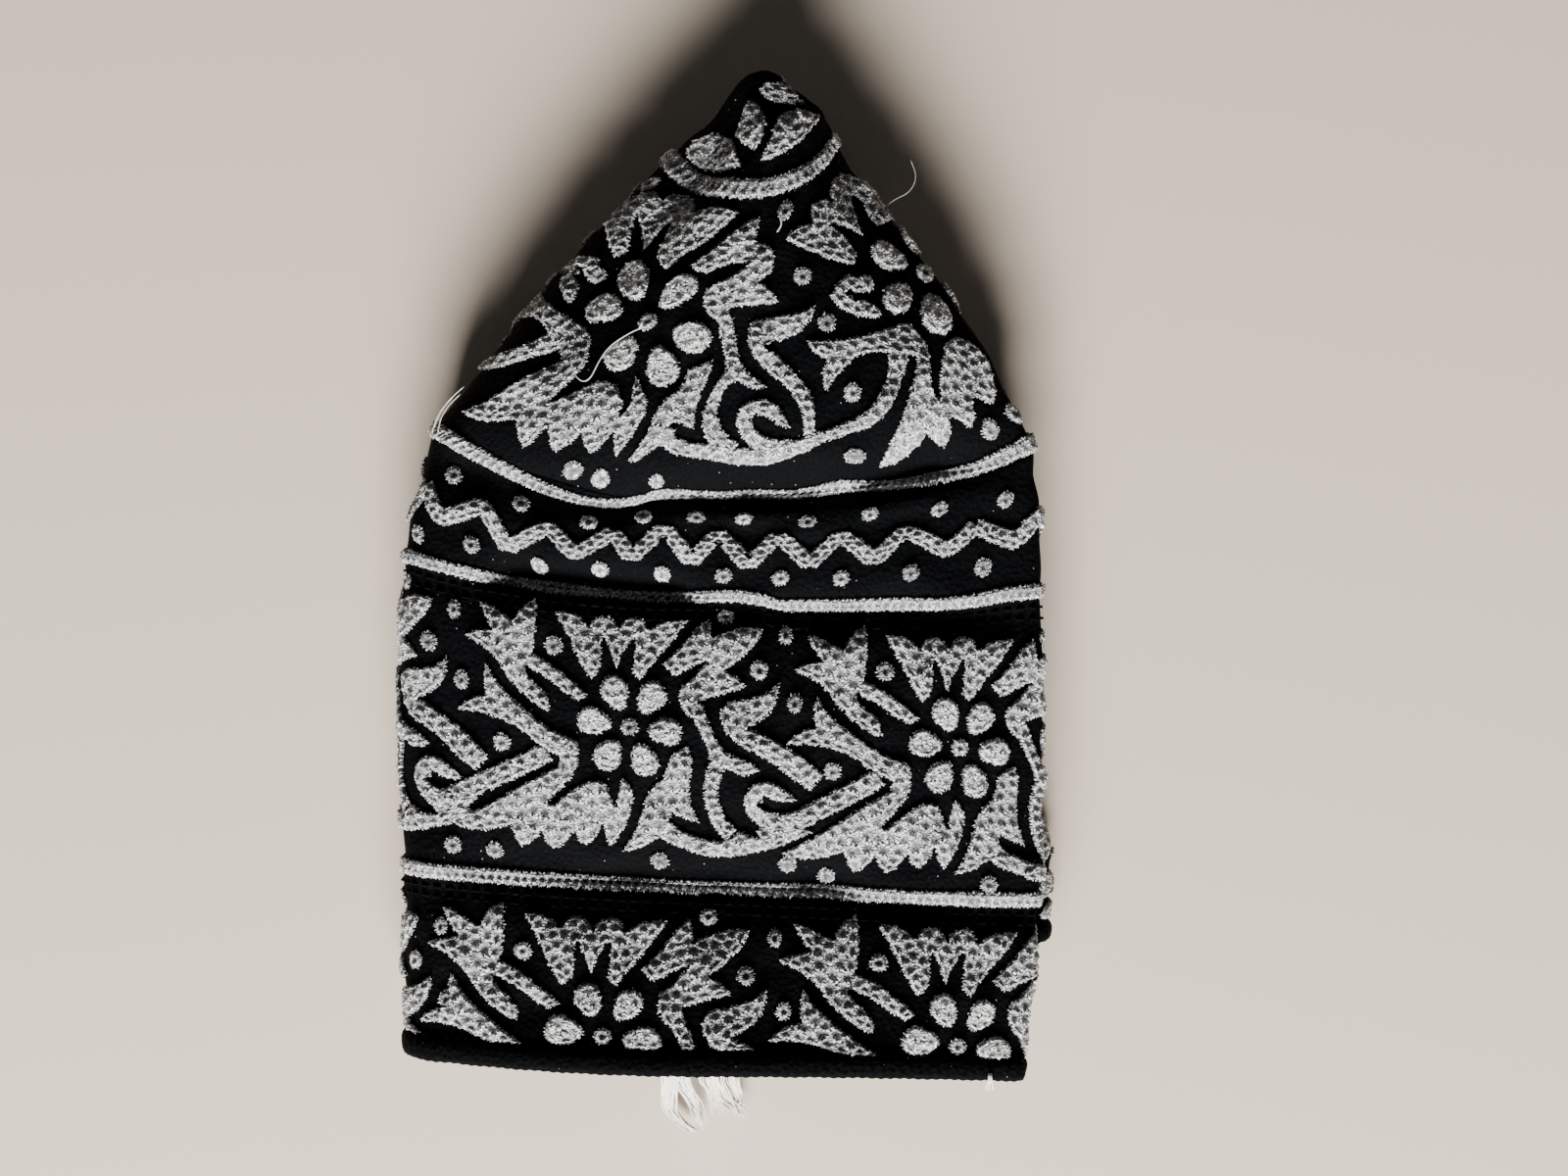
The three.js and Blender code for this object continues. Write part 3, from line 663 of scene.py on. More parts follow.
class Stitching:
    """Gathers the stitch cells of one piece, and makes its mesh."""

    def __init__(self, name):
        self.name = name
        self.batches = {True: [], False: []}
        self.tips = []

    def add(self, cells, to_cloth, kind="sunk"):
        """Adds cells. to_cloth takes places in the chart to turns and distances from the hem."""
        if not len(cells["holes"]):
            return
        turn, up = to_cloth(cells["holes"])
        shown = read_grid(SHOWN, turn, up) > SEEN_FROM
        for fine in (True, False):
            if np.any(shown == fine):
                part = {key: value[shown == fine] for key, value in cells.items()}
                self.batches[fine].append(self.cell_mesh(part, to_cloth, kind if fine else "plain"))
        if np.any(shown):
            self.tips.append(self.tip_mesh({key: value[shown] for key, value in cells.items()}, to_cloth))

    def cell_mesh(self, cells, to_cloth, kind):
        (_, hole_height, hole_painted_shade), *rings = RINGS[kind]
        fine = kind != "plain"
        step = 1 if fine else 2
        holes = cells["holes"]
        angles = cells["angles"][:, ::step]
        reach = cells["reach"][:, ::step]
        edge = cells["edge"][:, ::step]
        count, rays = angles.shape
        ways = np.stack([np.cos(angles), np.sin(angles)], axis=2)
        ridge = (-1.0) ** np.arange(rays)
        wobble = random.uniform(*WOBBLE, (count, rays)) + RIDGE * ridge
        uneven = random.uniform(*CELL_SHADE, (count, 1)) * (DOT_UNEVEN if kind == "dot" else 1)
        shade = MEAN_SHADE + uneven + random.uniform(*RAY_SHADE, (count, rays))
        # painted highlight on the higher rays, painted shade on the lower ones; a dot's two by two
        shade = shade + RIDGE_PAINTED_LIGHT * (2 * (np.arange(rays) // 2 % 2) - 1 if kind == "dot" else ridge)
        inside = reach - EDGE_INSET + random.uniform(*TEETH, (count, rays))
        reach = np.where(edge & fine, np.maximum(inside, SHORTEST_SHARE * reach), reach)
        places = [holes[:, None, :]]
        heights = [np.full((count, 1), hole_height)]
        # painted shade: the needle hole is darker than the rings round it
        tones = [np.full((count, 1), hole_painted_shade)]
        for share, height, tone in rings:
            places.append(holes[:, None] + ways * (reach * share)[:, :, None])
            last = share == 1
            level = np.where(edge & last, EDGE_HEIGHT, height)
            heights.append(level + wobble * share if fine else np.minimum(level, PLAIN_LIMIT))
            # a shape's lowered outline gets painted shade
            tones.append(tone * shade * np.where(edge & last, EDGE_PAINTED_SHADE, 1))
        places.append(holes[:, None] + ways * (reach + SKIRT_OUT)[:, :, None])
        heights.append(np.full((count, rays), SKIRT_HEIGHT))
        # painted shade at the foot of each cell
        tones.append(SKIRT_PAINTED_SHADE * shade)
        turn, up = to_cloth(np.concatenate(places, axis=1).reshape(-1, 2))
        points = on_cloth(turn, up, np.concatenate(heights, axis=1).ravel())
        per_cell = len(points) // count
        faces, uvs = self.template(rays, [share for share, _, _ in rings])
        all_faces = faces[None] + (np.arange(count) * per_cell)[:, None, None]
        tones = np.concatenate(tones, axis=1).ravel()
        return points, tones, all_faces.reshape(-1, 3), np.tile(uvs, (count, 1))

    @staticmethod
    def template(rays, shares):
        """Triangles of one cell, with each corner's turn round the hole and share of the reach."""
        faces = []
        uvs = []
        shares = [*shares, SKIRT_SHARE]
        for ray in range(rays):
            after = (ray + 1) % rays
            here, there = ray / rays, (ray + 1) / rays
            faces.append((0, 1 + ray, 1 + after))
            uvs += [((here + there) / 2, 0), (here, shares[0]), (there, shares[0])]
            for ring in range(len(shares) - 1):
                a, b = 1 + ring * rays + ray, 1 + ring * rays + after
                c, d = b + rays, a + rays
                low, high = shares[ring], shares[ring + 1]
                faces += [(a, d, c), (a, c, b)]
                uvs += [(here, low), (here, high), (there, high), (here, low), (there, high), (there, low)]
        return np.array(faces), np.array(uvs, float)

    @staticmethod
    def tip_mesh(cells, to_cloth):
        """Single threads that run out at an outline, one on each ray that ends there and one after it. Each
        is a thin body with five corners: root, left, right, tip and the one underneath."""
        cell, ray = np.nonzero(cells["edge"])
        if not len(cell):
            return None
        cell = np.concatenate([cell, cell])
        ray = np.concatenate([ray, ray])
        count = len(ray)
        between = np.arange(count) >= count // 2
        following = (ray + 1) % RAYS
        share = np.where(between & cells["edge"][cell, following], random.uniform(*TIP_BETWEEN, count), 0)
        angle = cells["angles"][cell, ray]
        gap = (cells["angles"][cell, following] - angle) % TURN
        angle = angle + gap * share
        reach = cells["reach"][cell, ray] * (1 - share) + cells["reach"][cell, following] * share
        way = np.stack([np.cos(angle), np.sin(angle)], axis=1)
        side = np.stack([-way[:, 1], way[:, 0]], axis=1)
        lean = way + side * random.uniform(*TIP_LEAN, (count, 1))
        inside = np.minimum(TIP_ROOT, TIP_ROOT_SHARE * reach)[:, None]
        root = cells["holes"][cell] + way * (reach[:, None] - inside)
        length = inside + random.uniform(*TIP_PAST, (count, 1))
        wide = side * random.uniform(*TIP_HALF_WIDTH, (count, 1))
        middle = root + lean * length * random.uniform(*TIP_MIDDLE, (count, 1))
        places = np.stack([root, middle + wide, middle - wide, root + lean * length, middle], axis=1)
        heights = np.tile(TIP_HEIGHTS, (count, 1)) + random.uniform(*TIP_UNEVEN, (count, 1))
        turn, up = to_cloth(places.reshape(-1, 2))
        points = on_cloth(turn, up, heights.ravel())
        shape = np.array([(0, 2, 1), (2, 3, 1), (0, 1, 4), (1, 3, 4), (3, 2, 4), (2, 0, 4)])
        corners = len(TIP_PAINTED_SHADE)
        faces = shape[None] + corners * np.arange(count)[:, None, None]
        # painted shade at each thread's root and underneath it
        tones = np.tile(TIP_PAINTED_SHADE, count) * np.repeat(random.uniform(*TIP_SHADE, count), corners)
        uvs = np.tile(TIP_MAP, (count * len(shape), 1))
        return points, tones, faces.reshape(-1, 3), uvs

    def make(self):
        """One mesh for what shows, one for the layers underneath."""
        shown = self.batches[True] + [tips for tips in self.tips if tips]
        for name, batches in ((self.name, shown), (self.name + "_inside", self.batches[False])):
            if not batches:
                continue
            first = np.cumsum([0] + [len(batch[0]) for batch in batches[:-1]])
            points = np.concatenate([batch[0] for batch in batches])
            tones = np.concatenate([batch[1] for batch in batches])
            faces = np.concatenate([batch[2] + start for batch, start in zip(batches, first)])
            uvs = np.concatenate([batch[3] for batch in batches])
            add_mesh(name, points, faces, tones=tones, corner_uvs=uvs)


# The band's flower motif, charted: along and up, in mm, of the corners of each embroidered shape
# of the repeat whose flower is at BAND_FLOWER.
BAND_FLOWER = (-22.7, 76.1)
BAND_MOTIF = {
    "tulip": [
        (-39.5, 99.7), (-36, 94), (-33.5, 88.5), (-31.2, 85.8), (-29, 87.8), (-29, 94.6), (-28.2, 94.6),
        (-26.8, 91.5), (-25.7, 88.2), (-24.8, 91), (-22.6, 94.8), (-21.7, 94.8), (-22, 89.5), (-22.4, 87.6),
        (-20.6, 86.1), (-18, 89.5), (-14, 94.5), (-10.7, 99.4), (-14.5, 99.2), (-17.5, 98.2), (-18.8, 96.7),
        (-20.3, 99.4), (-22.5, 99.8), (-24.5, 99), (-25.5, 96.9), (-26.5, 99), (-29, 99.9), (-31, 99),
        (-32, 97), (-33.5, 98.7), (-36, 99.8)],
    "antler": [
        (-56.6, 99.9), (-54.5, 99.5), (-52, 98.3), (-48.6, 96.5), (-47.8, 98.5), (-47, 100), (-43.9, 101.9),
        (-43.5, 98.5), (-43.5, 94), (-44.2, 90), (-42.3, 89.5), (-39, 87.5), (-35.5, 85.3), (-31.8, 82.2),
        (-34, 81.1), (-37, 82.5), (-40, 84.8), (-43, 86.3), (-45.8, 86.9), (-44.5, 84.5), (-41.5, 82.5),
        (-40.2, 80.5), (-40.2, 78.3), (-42.5, 79), (-45.5, 81), (-48, 83), (-50.3, 85.5), (-52, 88),
        (-55, 90.5), (-57.5, 91.5), (-59.4, 92.4), (-57, 93.5), (-52.9, 94.2), (-54.5, 96)],
    "double leaf and stem": [
        (-15.7, 89.5), (-12, 93.3), (-10, 96), (-8.5, 98.2), (-6.3, 99.7), (-5.7, 97), (-5.5, 95.2),
        (-2, 96.8), (2, 97.8), (5.4, 97.4), (4.3, 94.5), (2, 92), (-0.5, 89.8), (-2.4, 88.2), (0.5, 86.8),
        (2.1, 84.9), (-1.5, 83.8), (-5, 82.8), (-7.5, 82), (-6.8, 80.3), (-5.3, 76.5), (-3.8, 73.2),
        (-2, 71), (0, 69.8), (2.5, 69.2), (5.3, 67.1), (3.8, 66.2), (1.8, 65.8), (-0.5, 66.5), (-2, 67.5),
        (-3.4, 65), (-3.9, 61), (-2.5, 56.5), (0, 53.8), (-2.5, 51.5), (-5, 54.5), (-6.5, 58), (-7, 62),
        (-6.8, 65.5), (-5.4, 69.3), (-6, 72), (-7.5, 75), (-9, 78), (-11.5, 80), (-12.3, 82.5),
        (-11.8, 85), (-9.5, 86.3), (-7.5, 89), (-6, 90.5), (-9, 89.5), (-11.5, 88), (-13.3, 87.3)],
    "hook": [
        (9.2, 86), (7.5, 84.3), (5, 83), (1.5, 82.3), (-1.5, 81.8), (-3.3, 80.2), (-3.3, 78), (-2.2, 75.5),
        (-0.5, 73.5), (1.5, 72), (4.5, 70.6), (8, 68.5), (11, 66), (14, 63.8), (15.7, 62.5), (18.7, 65.8),
        (16.5, 68.3), (13, 70.8), (9, 73.2), (4.5, 75.3), (2.3, 76.2), (5, 77.6), (7.5, 79.5), (8.8, 82)],
    "curl": [
        (12.9, 60.5), (11, 62.3), (9, 63.7), (6.8, 64.7), (4, 64.2), (2.2, 62.5), (1.4, 60), (2, 57.5),
        (4, 55.2), (6.5, 53.6), (10, 53), (14, 54.5), (16.5, 57), (16, 58.5), (12, 57.6), (8.5, 57.4),
        (5.8, 58.2), (5, 59.8), (6, 60.8), (7.5, 60.6), (9.8, 59.9)],
    "lower leaf and arc": [
        (-24.5, 48.5), (-23, 51), (-21.5, 54), (-20.3, 57.5), (-19, 61.5), (-17.8, 63.2), (-15.5, 65),
        (-14.5, 68), (-13.8, 70.2), (-12, 71.2), (-10.2, 72.3), (-9.3, 70), (-9.3, 67), (-10, 64),
        (-9.8, 60.5), (-8.9, 57.5), (-8.1, 55.3), (-10, 55.8), (-12.3, 56.8), (-14, 57.8), (-14.3, 55.3),
        (-12, 53.7), (-8, 52), (-4.5, 51.2), (-2.3, 51.4), (0.5, 53.5), (3, 52.3), (6, 52.1), (8.5, 53.4),
        (13, 55), (16, 53.6), (13, 51.8), (8, 49.8), (3, 48.5), (-3, 47.6), (-8, 48.2), (-13.5, 50.3),
        (-17, 51.8), (-20.5, 49.6)],
    "arrow": [
        (-54.3, 86.9), (-52.5, 83.8), (-49, 80.6), (-44.5, 77.3), (-39.5, 74), (-34.2, 72.3), (-33.7, 69.5),
        (-38.3, 68.6), (-43.1, 71.2), (-46.5, 74), (-50.5, 75.5), (-55.5, 76.6), (-61, 76.5), (-59, 78.5),
        (-56.5, 79.8), (-54.6, 80.1), (-54.9, 82.5), (-54.8, 85)],
    "comb": [
        (-34.2, 72.3), (-33.6, 69.5), (-34.4, 65.2), (-37, 62.4), (-40.3, 58.8), (-39.5, 58.2), (-36, 60.8),
        (-33, 63.2), (-30, 64.1), (-27.7, 63.4), (-26.8, 61), (-25.8, 58.6), (-25.2, 61), (-24.3, 64.9),
        (-22.4, 63.2), (-21.6, 60.5), (-23.4, 55), (-25.4, 51.3), (-27, 49.8), (-28, 51), (-28.7, 54.6),
        (-30.8, 50.5), (-32.3, 49.6), (-33.9, 50.3), (-34.7, 52.8), (-37.5, 49.3), (-39.5, 48.5),
        (-41, 49.5), (-41.8, 52.2), (-44.3, 49.5), (-46.5, 48.4), (-47.8, 50), (-48.8, 53), (-53.5, 51.5),
        (-59, 51.1), (-61.7, 52.3), (-58, 54.6), (-53, 57.3), (-47, 61.4), (-42, 64.4), (-38.3, 66.3),
        (-38, 68.4), (-40.5, 71), (-37, 73)],
}
BAND_BRANCH = [(-40.5, 69.5), (-46, 66.3), (-52, 63.2), (-57.5, 60.3), (-62, 57.8), (-66.5, 55.4)]
BRANCH_WIDTH = 4.2
# Round dots between the shapes: along, up, half width, half height
BAND_DOTS = [(-39.5, 92.3, 2, 2), (-50.8, 70.7, 2, 2), (4.9, 88.5, 1.9, 2.1), (-2.7, 100.2, 1.9, 1.8),
             (10.4, 96, 1.4, 2), (12.5, 81.5, 1.6, 2.1), (-52.5, 47.2, 2, 1.9), (-16.7, 46.7, 2, 1.9),
             (10.7, 46.2, 2, 1.9)]
PETALS = 6
PETAL_FIRST = math.radians(-6)
PETAL_DISTANCE = 7.7
PETAL_LENGTH = 7.6
PETAL_WIDTH = 5.9
FLOWER_MIDDLE = 1.9
PETAL_PITCH = 3.3
WIDE_PETAL_SIZE = (8.7, 6.5)  # of the border's two petals that point sideways
WIDE_PETALS = (0, 3)
WIDE_DISTANCE = 1.1
DOT_MARGIN = 1  # mm inside the limits
NEAR_SHIFT = 100  # mm; the repeats within it share one home, so that they fit together


def charted(outline, limits=None, pitch=PITCH):
    shape, tips = smooth_outline(outline)
    return shift_holes(fill_cells(shape, tips, limits, pitch))


def move_chart(points, centre, scale, to):
    """Points of the chart, scaled about a centre that goes to a new place."""
    return (np.array(points, float) - centre) * scale + to


def band_cells(to=BAND_FLOWER, scale=(1, 1), limits=None, wide_petals=False):
    """The cells of one repeat of the band's motif, with its flower at a place, and the kind of each."""
    outlines = [move_chart(outline, BAND_FLOWER, scale, to) for outline in BAND_MOTIF.values()]
    outlines.append(stroke(move_chart(BAND_BRANCH, BAND_FLOWER, scale, to), BRANCH_WIDTH))
    shapes = [(charted(outline, limits), "sunk") for outline in outlines]
    for k in range(PETALS):
        angle = PETAL_FIRST + k * TURN / PETALS
        sideways = wide_petals and k in WIDE_PETALS
        length, width = WIDE_PETAL_SIZE if sideways else (PETAL_LENGTH, PETAL_WIDTH)
        distance = PETAL_DISTANCE * (WIDE_DISTANCE if wide_petals else 1)
        centre = (to[0] + distance * math.cos(angle), to[1] + distance * math.sin(angle))
        petal = teardrop(centre, length, width, angle)
        shapes.append((fill_cells(petal, limits=limits, pitch=PETAL_PITCH), "petal"))
    if not limits or limits[0] < to[1] < limits[1]:
        shapes.append((dot_cell(*to, FLOWER_MIDDLE), "dot"))
    for x, y, across, tall in BAND_DOTS:
        x, y = move_chart((x, y), BAND_FLOWER, scale, to)
        if not limits or limits[0] + DOT_MARGIN < y < limits[1] - DOT_MARGIN:
            shapes.append((dot_cell(x, y, across, tall), "dot"))
    return shapes


def band_place(shift, lower=0, home=0, home_up=BAND_HEIGHT / 2):
    """Takes chart places to the cloth, moved round by shift and towards the hem by lower. Round the cap
    they keep their shape at home, which is where the loop is as long as at home_up."""
    def to_cloth(places):
        up = places[:, 1] - lower
        around = (places[:, 0] + shift - home) / loop_length(np.maximum(up, 0))
        return TURN * (home / loop_length(home_up) + around), up
    return to_cloth


def stitch_repeats(name, shapes, repeats, home_up):
    """One piece of embroidery round the band. Each repeat is moved round and towards the hem."""
    stitching = Stitching(name)
    for shift, lower in repeats:
        place = band_place(shift, lower, 0 if shift < NEAR_SHIFT else shift, home_up)
        for cells, kind in shapes:
            stitching.add(cells, place, kind)
    stitching.make()


# Where the band's repeats lie: how far round each one is moved, and how far it lies nearer the hem
BAND_REPEATS = [(0, 0), (71.5, 3.8), (144.2, 2), (216.9, 2), (289.5, 2), (362.2, 2), (434.8, 1),
                (507.5, -1.3)]
stitch_repeats("band_embroidery", band_cells(), BAND_REPEATS, BAND_HEIGHT / 2)

# The lower border shows the upper part of the same motif, a little larger
BORDER_FLOWER = (-27.8, 7.5)
BORDER_SCALE = (1.08, 1.10)
BORDER_LIMITS = (4.9, 36.8)
BORDER_REPEATS = [(0, 0), (76.3, 1), (149.8, 0.5), (223.3, 0.5), (296.8, 0), (370.3, 0), (443.8, 0),
                  (517.3, 0)]
border_shapes = band_cells(BORDER_FLOWER, BORDER_SCALE, BORDER_LIMITS, True)
stitch_repeats("border_embroidery", border_shapes, BORDER_REPEATS, BORDER_FLOWER[1])

# Stripes, made as straight strips of slanted cells and then bent along the line they follow
STRIPE_PARTS = 8
STRIPE_PART = HEAD_LOOP / STRIPE_PARTS
STRIPE_OVERLAP = 0.2


def periodic(points):
    """A charted line round the cap that comes back to its beginning."""
    points = np.array(points, float)
    start = points[0, 0]
    keys = np.concatenate([points[:, 0], [points[0, 0] + HEAD_LOOP]])
    values = np.concatenate([points[:, 1], points[:1, 1]])
    return lambda along: read_column(keys, values, (along - start) % HEAD_LOOP + start)


def stripe_cells(length, width, pitch):
    """A straight strip with one row of cells."""
    corners = np.array([(0, -width / 2), (length, -width / 2), (length, width / 2), (0, width / 2)])
    count = int(round(length / pitch))
    holes = np.stack([(np.arange(count) + 0.5) * length / count, np.zeros(count)], axis=1)
    return fill_cells(corners, holes=holes)


def stripe_place(line, shift, slant):
    def to_cloth(places):
        along = places[:, 0] + slant * places[:, 1] + shift
        return TURN * along / HEAD_LOOP, line(along) + places[:, 1]
    return to_cloth


# Each stripe: its width, the pitch of its cells, their slant and the places that it runs through
STRIPES = {
    "at the crown seam": (3.7, 1.9, 0.5, [
        (-70, 135.8), (-60, 135), (-50, 133.3), (-40, 131.7), (-35, 131.4), (-30, 132.3), (-25, 134.5),
        (-20, 137.2), (-10, 138), (0, 138.3), (10, 137.6), (20, 138.2), (30, 136.8), (40, 135.8),
        (50, 135.8), (60, 136.6), (70, 137.3), (140, 136.5), (440, 136.5)]),
    "under the zigzag": (3.1, 1.85, 0.15, [
        (-75, 107), (-60, 106), (-50, 105.5), (-20, 105), (0, 105.6), (5, 104.8), (10, 103.3), (40, 103.6),
        (50, 104.3), (60, 105.7), (70, 106.3), (140, 105.5), (440, 105.5)]),
    "above the border": (3.3, 1.85, 0.1, [
        (-75, 41.3), (-40, 41.2), (-20, 40.8), (0, 40.3), (20, 39.6), (40, 39.2), (60, 39.6), (70, 40),
        (140, 40.5), (440, 40.5)]),
}
stripes = Stitching("stripe_embroidery")
for width, pitch, slant, line in STRIPES.values():
    follow = periodic(line)
    cells = stripe_cells(STRIPE_PART + STRIPE_OVERLAP, width, pitch)
    for k in range(STRIPE_PARTS):
        stripes.add(cells, stripe_place(follow, line[0][0] + k * STRIPE_PART, slant))

# The zigzag: peaks and valleys where they show, and an even run for the rest
ZIGZAG_WIDTH = 3.8
ZIGZAG_CUT = 1.3
ZIGZAG_PITCH = 2.4
ZIGZAG = [(-72, 124), (-66.5, 117), (-57.5, 123.5), (-51, 113.8), (-42.5, 121.5), (-36, 114.5),
          (-28.3, 122.5), (-23.8, 115.5), (-17.5, 125.5), (-10.8, 115), (-6, 124.5), (1.5, 114),
          (7, 123.5), (14.5, 114), (20.5, 122.5), (28.5, 114.5), (34.5, 122.5), (44.5, 115.5),
          (50.5, 121), (60, 116), (66, 122)]
ZIGZAG_HIDDEN = 32
ZIGZAG_RUN = 6  # points of the line that are stitched as one shape
hidden_start = ZIGZAG[-1][0]
hidden_step = (HEAD_LOOP + ZIGZAG[0][0] - hidden_start) / ZIGZAG_HIDDEN
for k in range(ZIGZAG_HIDDEN):
    ZIGZAG += [(hidden_start + hidden_step * (k + 0.5), 115.5), (hidden_start + hidden_step * (k + 1), 124)]


def cut_corners(points):
    """A line with each corner cut by two points beside it."""
    points = np.array(points, float)
    cut = [points[0]]
    for before, corner, after in zip(points, points[1:], points[2:]):
        for other in (before, after):
            cut.append(corner + (other - corner) * ZIGZAG_CUT / np.linalg.norm(other - corner))
    return np.array(cut + [points[-1]])


for k in range(0, len(ZIGZAG) - 1, ZIGZAG_RUN):
    part = ZIGZAG[k:k + ZIGZAG_RUN + 1]
    ends = cut_corners(part)
    if len(part) > 2:
        stripes.add(charted(stroke(ends, ZIGZAG_WIDTH), pitch=ZIGZAG_PITCH), band_place(0))
ZIGZAG_DOTS = [(-65.8, 128), (-49.5, 126), (-34, 124.5), (-22.5, 128.5), (-11, 130), (-0.8, 129.5),
               (13, 128), (26.5, 128.5), (42, 127), (57.2, 126.3), (-59, 113), (-44, 110.7), (-30.5, 111.5),
               (-17, 111.5), (-3.5, 111), (8.7, 110.3), (21.8, 110), (36.8, 111), (53, 111.5)]
for k in range(ZIGZAG_HIDDEN):
    ZIGZAG_DOTS += [(hidden_start + hidden_step * (k + 0.5), 127.5),
                    (hidden_start + hidden_step * (k + 1), 112.5)]
for x, y in ZIGZAG_DOTS:
    stripes.add(dot_cell(x, y, 1.9, 2.1), band_place(0), "dot")

# The crown's motifs, charted on its flat disc: x and y from its middle, with the shown side at negative y
CROWN_REPEAT_TURN = math.radians(68.2)  # from the first charted repeat to the second
CROWN_RIGHT_SIDE = {
    "double leaf and stem": [
        (-15.8, -39.8), (-13, -37.8), (-10, -35.5), (-7, -32.8), (-4, -30.3), (-1.4, -29.6), (-1.8, -33),
        (-2.3, -35.5), (0, -36.5), (1.8, -39), (1.8, -42), (0.5, -44.5), (-2, -46), (0.5, -47.3),
        (1.8, -49.5), (2.8, -51.1), (-2.5, -51.3), (-7.5, -51.4), (-7.8, -52), (-6.5, -55.5), (-6, -60),
        (-5, -64), (-3.5, -66), (-1, -68), (0.8, -69.5), (-3, -69.6), (-5.5, -67.5), (-8, -68.5),
        (-9.5, -71.5), (-9.8, -74), (-9, -77), (-7, -79.5), (-4.5, -81), (-6, -83.5), (-9.5, -82),
        (-11.5, -80), (-12.8, -77), (-13, -74), (-12, -71), (-10, -67.5), (-8, -64.8), (-8.5, -63),
        (-9, -60), (-9.5, -57), (-10, -54), (-12, -52.5), (-13.5, -49.5), (-12.8, -46.5), (-10, -45),
        (-7, -44), (-3.5, -41), (-7.5, -40.5), (-10, -41.3), (-13, -42.3), (-14.8, -41.3)],
    "hook": [
        (10.8, -51.8), (8, -53.5), (4, -54), (0, -54.3), (-3, -55), (-3.8, -57), (-3.5, -60), (-2.5, -62.5),
        (0, -65.5), (3, -68), (5.5, -70), (7.5, -73), (9, -76), (9.5, -80), (12, -79), (11.5, -74),
        (10, -70), (7, -67), (3.5, -63.5), (0.3, -60), (4, -59.3), (7, -58), (9, -56), (10.5, -53.5)],
    "curl": [
        (6.3, -78.3), (4.5, -75), (2, -72.5), (-0.5, -71.9), (-3.5, -72.3), (-5.3, -73.8), (-5.8, -76),
        (-5, -78.5), (-3, -81), (-0.5, -82.8), (4, -83.2), (7.5, -82), (7, -80.5), (3, -80.5), (0, -79.5),
        (-2, -77.5), (-2.3, -75.8), (-0.5, -75.1), (1.5, -76), (3.5, -77.5)],
    "lower leaf and arc": [
        (-28, -83.5), (-26, -80), (-24, -75.5), (-22.8, -72), (-20.5, -69.5), (-17.5, -67.5), (-16.5, -64),
        (-13.5, -63.3), (-11, -62.5), (-11.3, -64.5), (-12.5, -67.5), (-13.8, -70.5), (-14.3, -73),
        (-14.5, -77.3), (-16.5, -76.3), (-18.8, -75.1), (-18.5, -78), (-16.5, -79.5), (-13.5, -80.4),
        (-11, -80.3), (-6, -82), (0, -82.3), (6, -81.2), (12, -79.5), (12, -82.5), (8, -84.3), (5, -85.5),
        (1.5, -86.3), (-2.5, -86), (-7, -85.3), (-10, -84.3), (-15, -83.3), (-18.5, -82.3), (-21.5, -79.8),
        (-25, -82.5), (-26.5, -83.6)],
}
CROWN_LEFT_SIDE = {
    "arrow": [
        (9, -59.8), (12, -59.5), (16, -59.4), (20, -58.8), (25, -57), (29, -55.5), (31, -54.5), (33, -54.4),
        (34.5, -56), (37, -58.3), (37.3, -61.5), (32, -61), (27.5, -61.5), (25, -61.3), (21, -62.3),
        (18, -64.8), (16, -67), (14.5, -69), (13.8, -70.5), (13, -69), (12.5, -66.5), (13.5, -64.5),
        (13, -63.3), (12, -63), (10, -61.5)],
    "branch": [
        (33, -58), (32, -63), (30.8, -67), (29.8, -70.5), (28, -74), (25.5, -77), (21, -78.8), (16, -80.5),
        (12, -82), (10, -83.5), (9.5, -80), (11.5, -79.3), (15, -78.3), (18.5, -77), (22.5, -75), (25, -72),
        (27, -68.5), (27.8, -64.5), (27.5, -60)],
}
BENT_LEAF = [
    (14, -49.8), (16, -46.5), (18.5, -44.8), (20.5, -45.3), (22.5, -44.5), (24.1, -45), (24.4, -47.3),
    (23.3, -48.5), (21.5, -48.3), (18.8, -49.5), (20.5, -50.3), (24, -50.8), (26.3, -53.3), (25, -54),
    (20.5, -54.3), (18, -53), (16, -52)]
BENT_LEAF_TURN = math.radians(-3.5)  # how much further round it lies beside the first flower
SECOND_TRIPLE_LEAF = [
    (10.5, -28.5), (13.8, -27.3), (15.8, -28.3), (15.5, -26), (17, -22.5), (20, -20.5), (23, -20.5),
    (25, -21.5), (27.5, -21), (30, -20.5), (33, -22), (34.5, -24), (33.8, -25.5), (30.5, -30.5), (27, -32),
    (25.5, -30), (25, -26.5), (23, -25.3), (21.5, -26.5), (22, -30.5), (22, -33), (23, -35.3), (20, -34),
    (16, -33), (15.5, -33.5), (18.5, -36.5), (21, -39.5), (20.5, -42), (18, -42.3), (15, -41.5),
    (10.5, -39.5), (7, -38), (4.1, -36), (5, -34.5), (7.5, -33.3), (10.3, -33)]
FIRST_TRIPLE_LEAF = [
    (-6, -27.8), (-8.5, -26.3), (-13.5, -24.8), (-15.8, -25.3), (-16.3, -22.2), (-19, -18.3),
    (-22, -16.4), (-24, -18.3), (-25.5, -15), (-30, -15), (-34, -17.2), (-36.3, -20), (-35.2, -27),
    (-33.5, -32), (-31, -31),
    (-30, -23.5), (-28.8, -20.8), (-28, -28), (-27.5, -32), (-25.5, -29), (-23, -26), (-21, -26),
    (-21.8, -29), (-23.3, -33), (-23.9, -35.5), (-22, -39.3), (-20, -38), (-17.5, -36), (-14.5, -35),
    (-10, -31.8)]
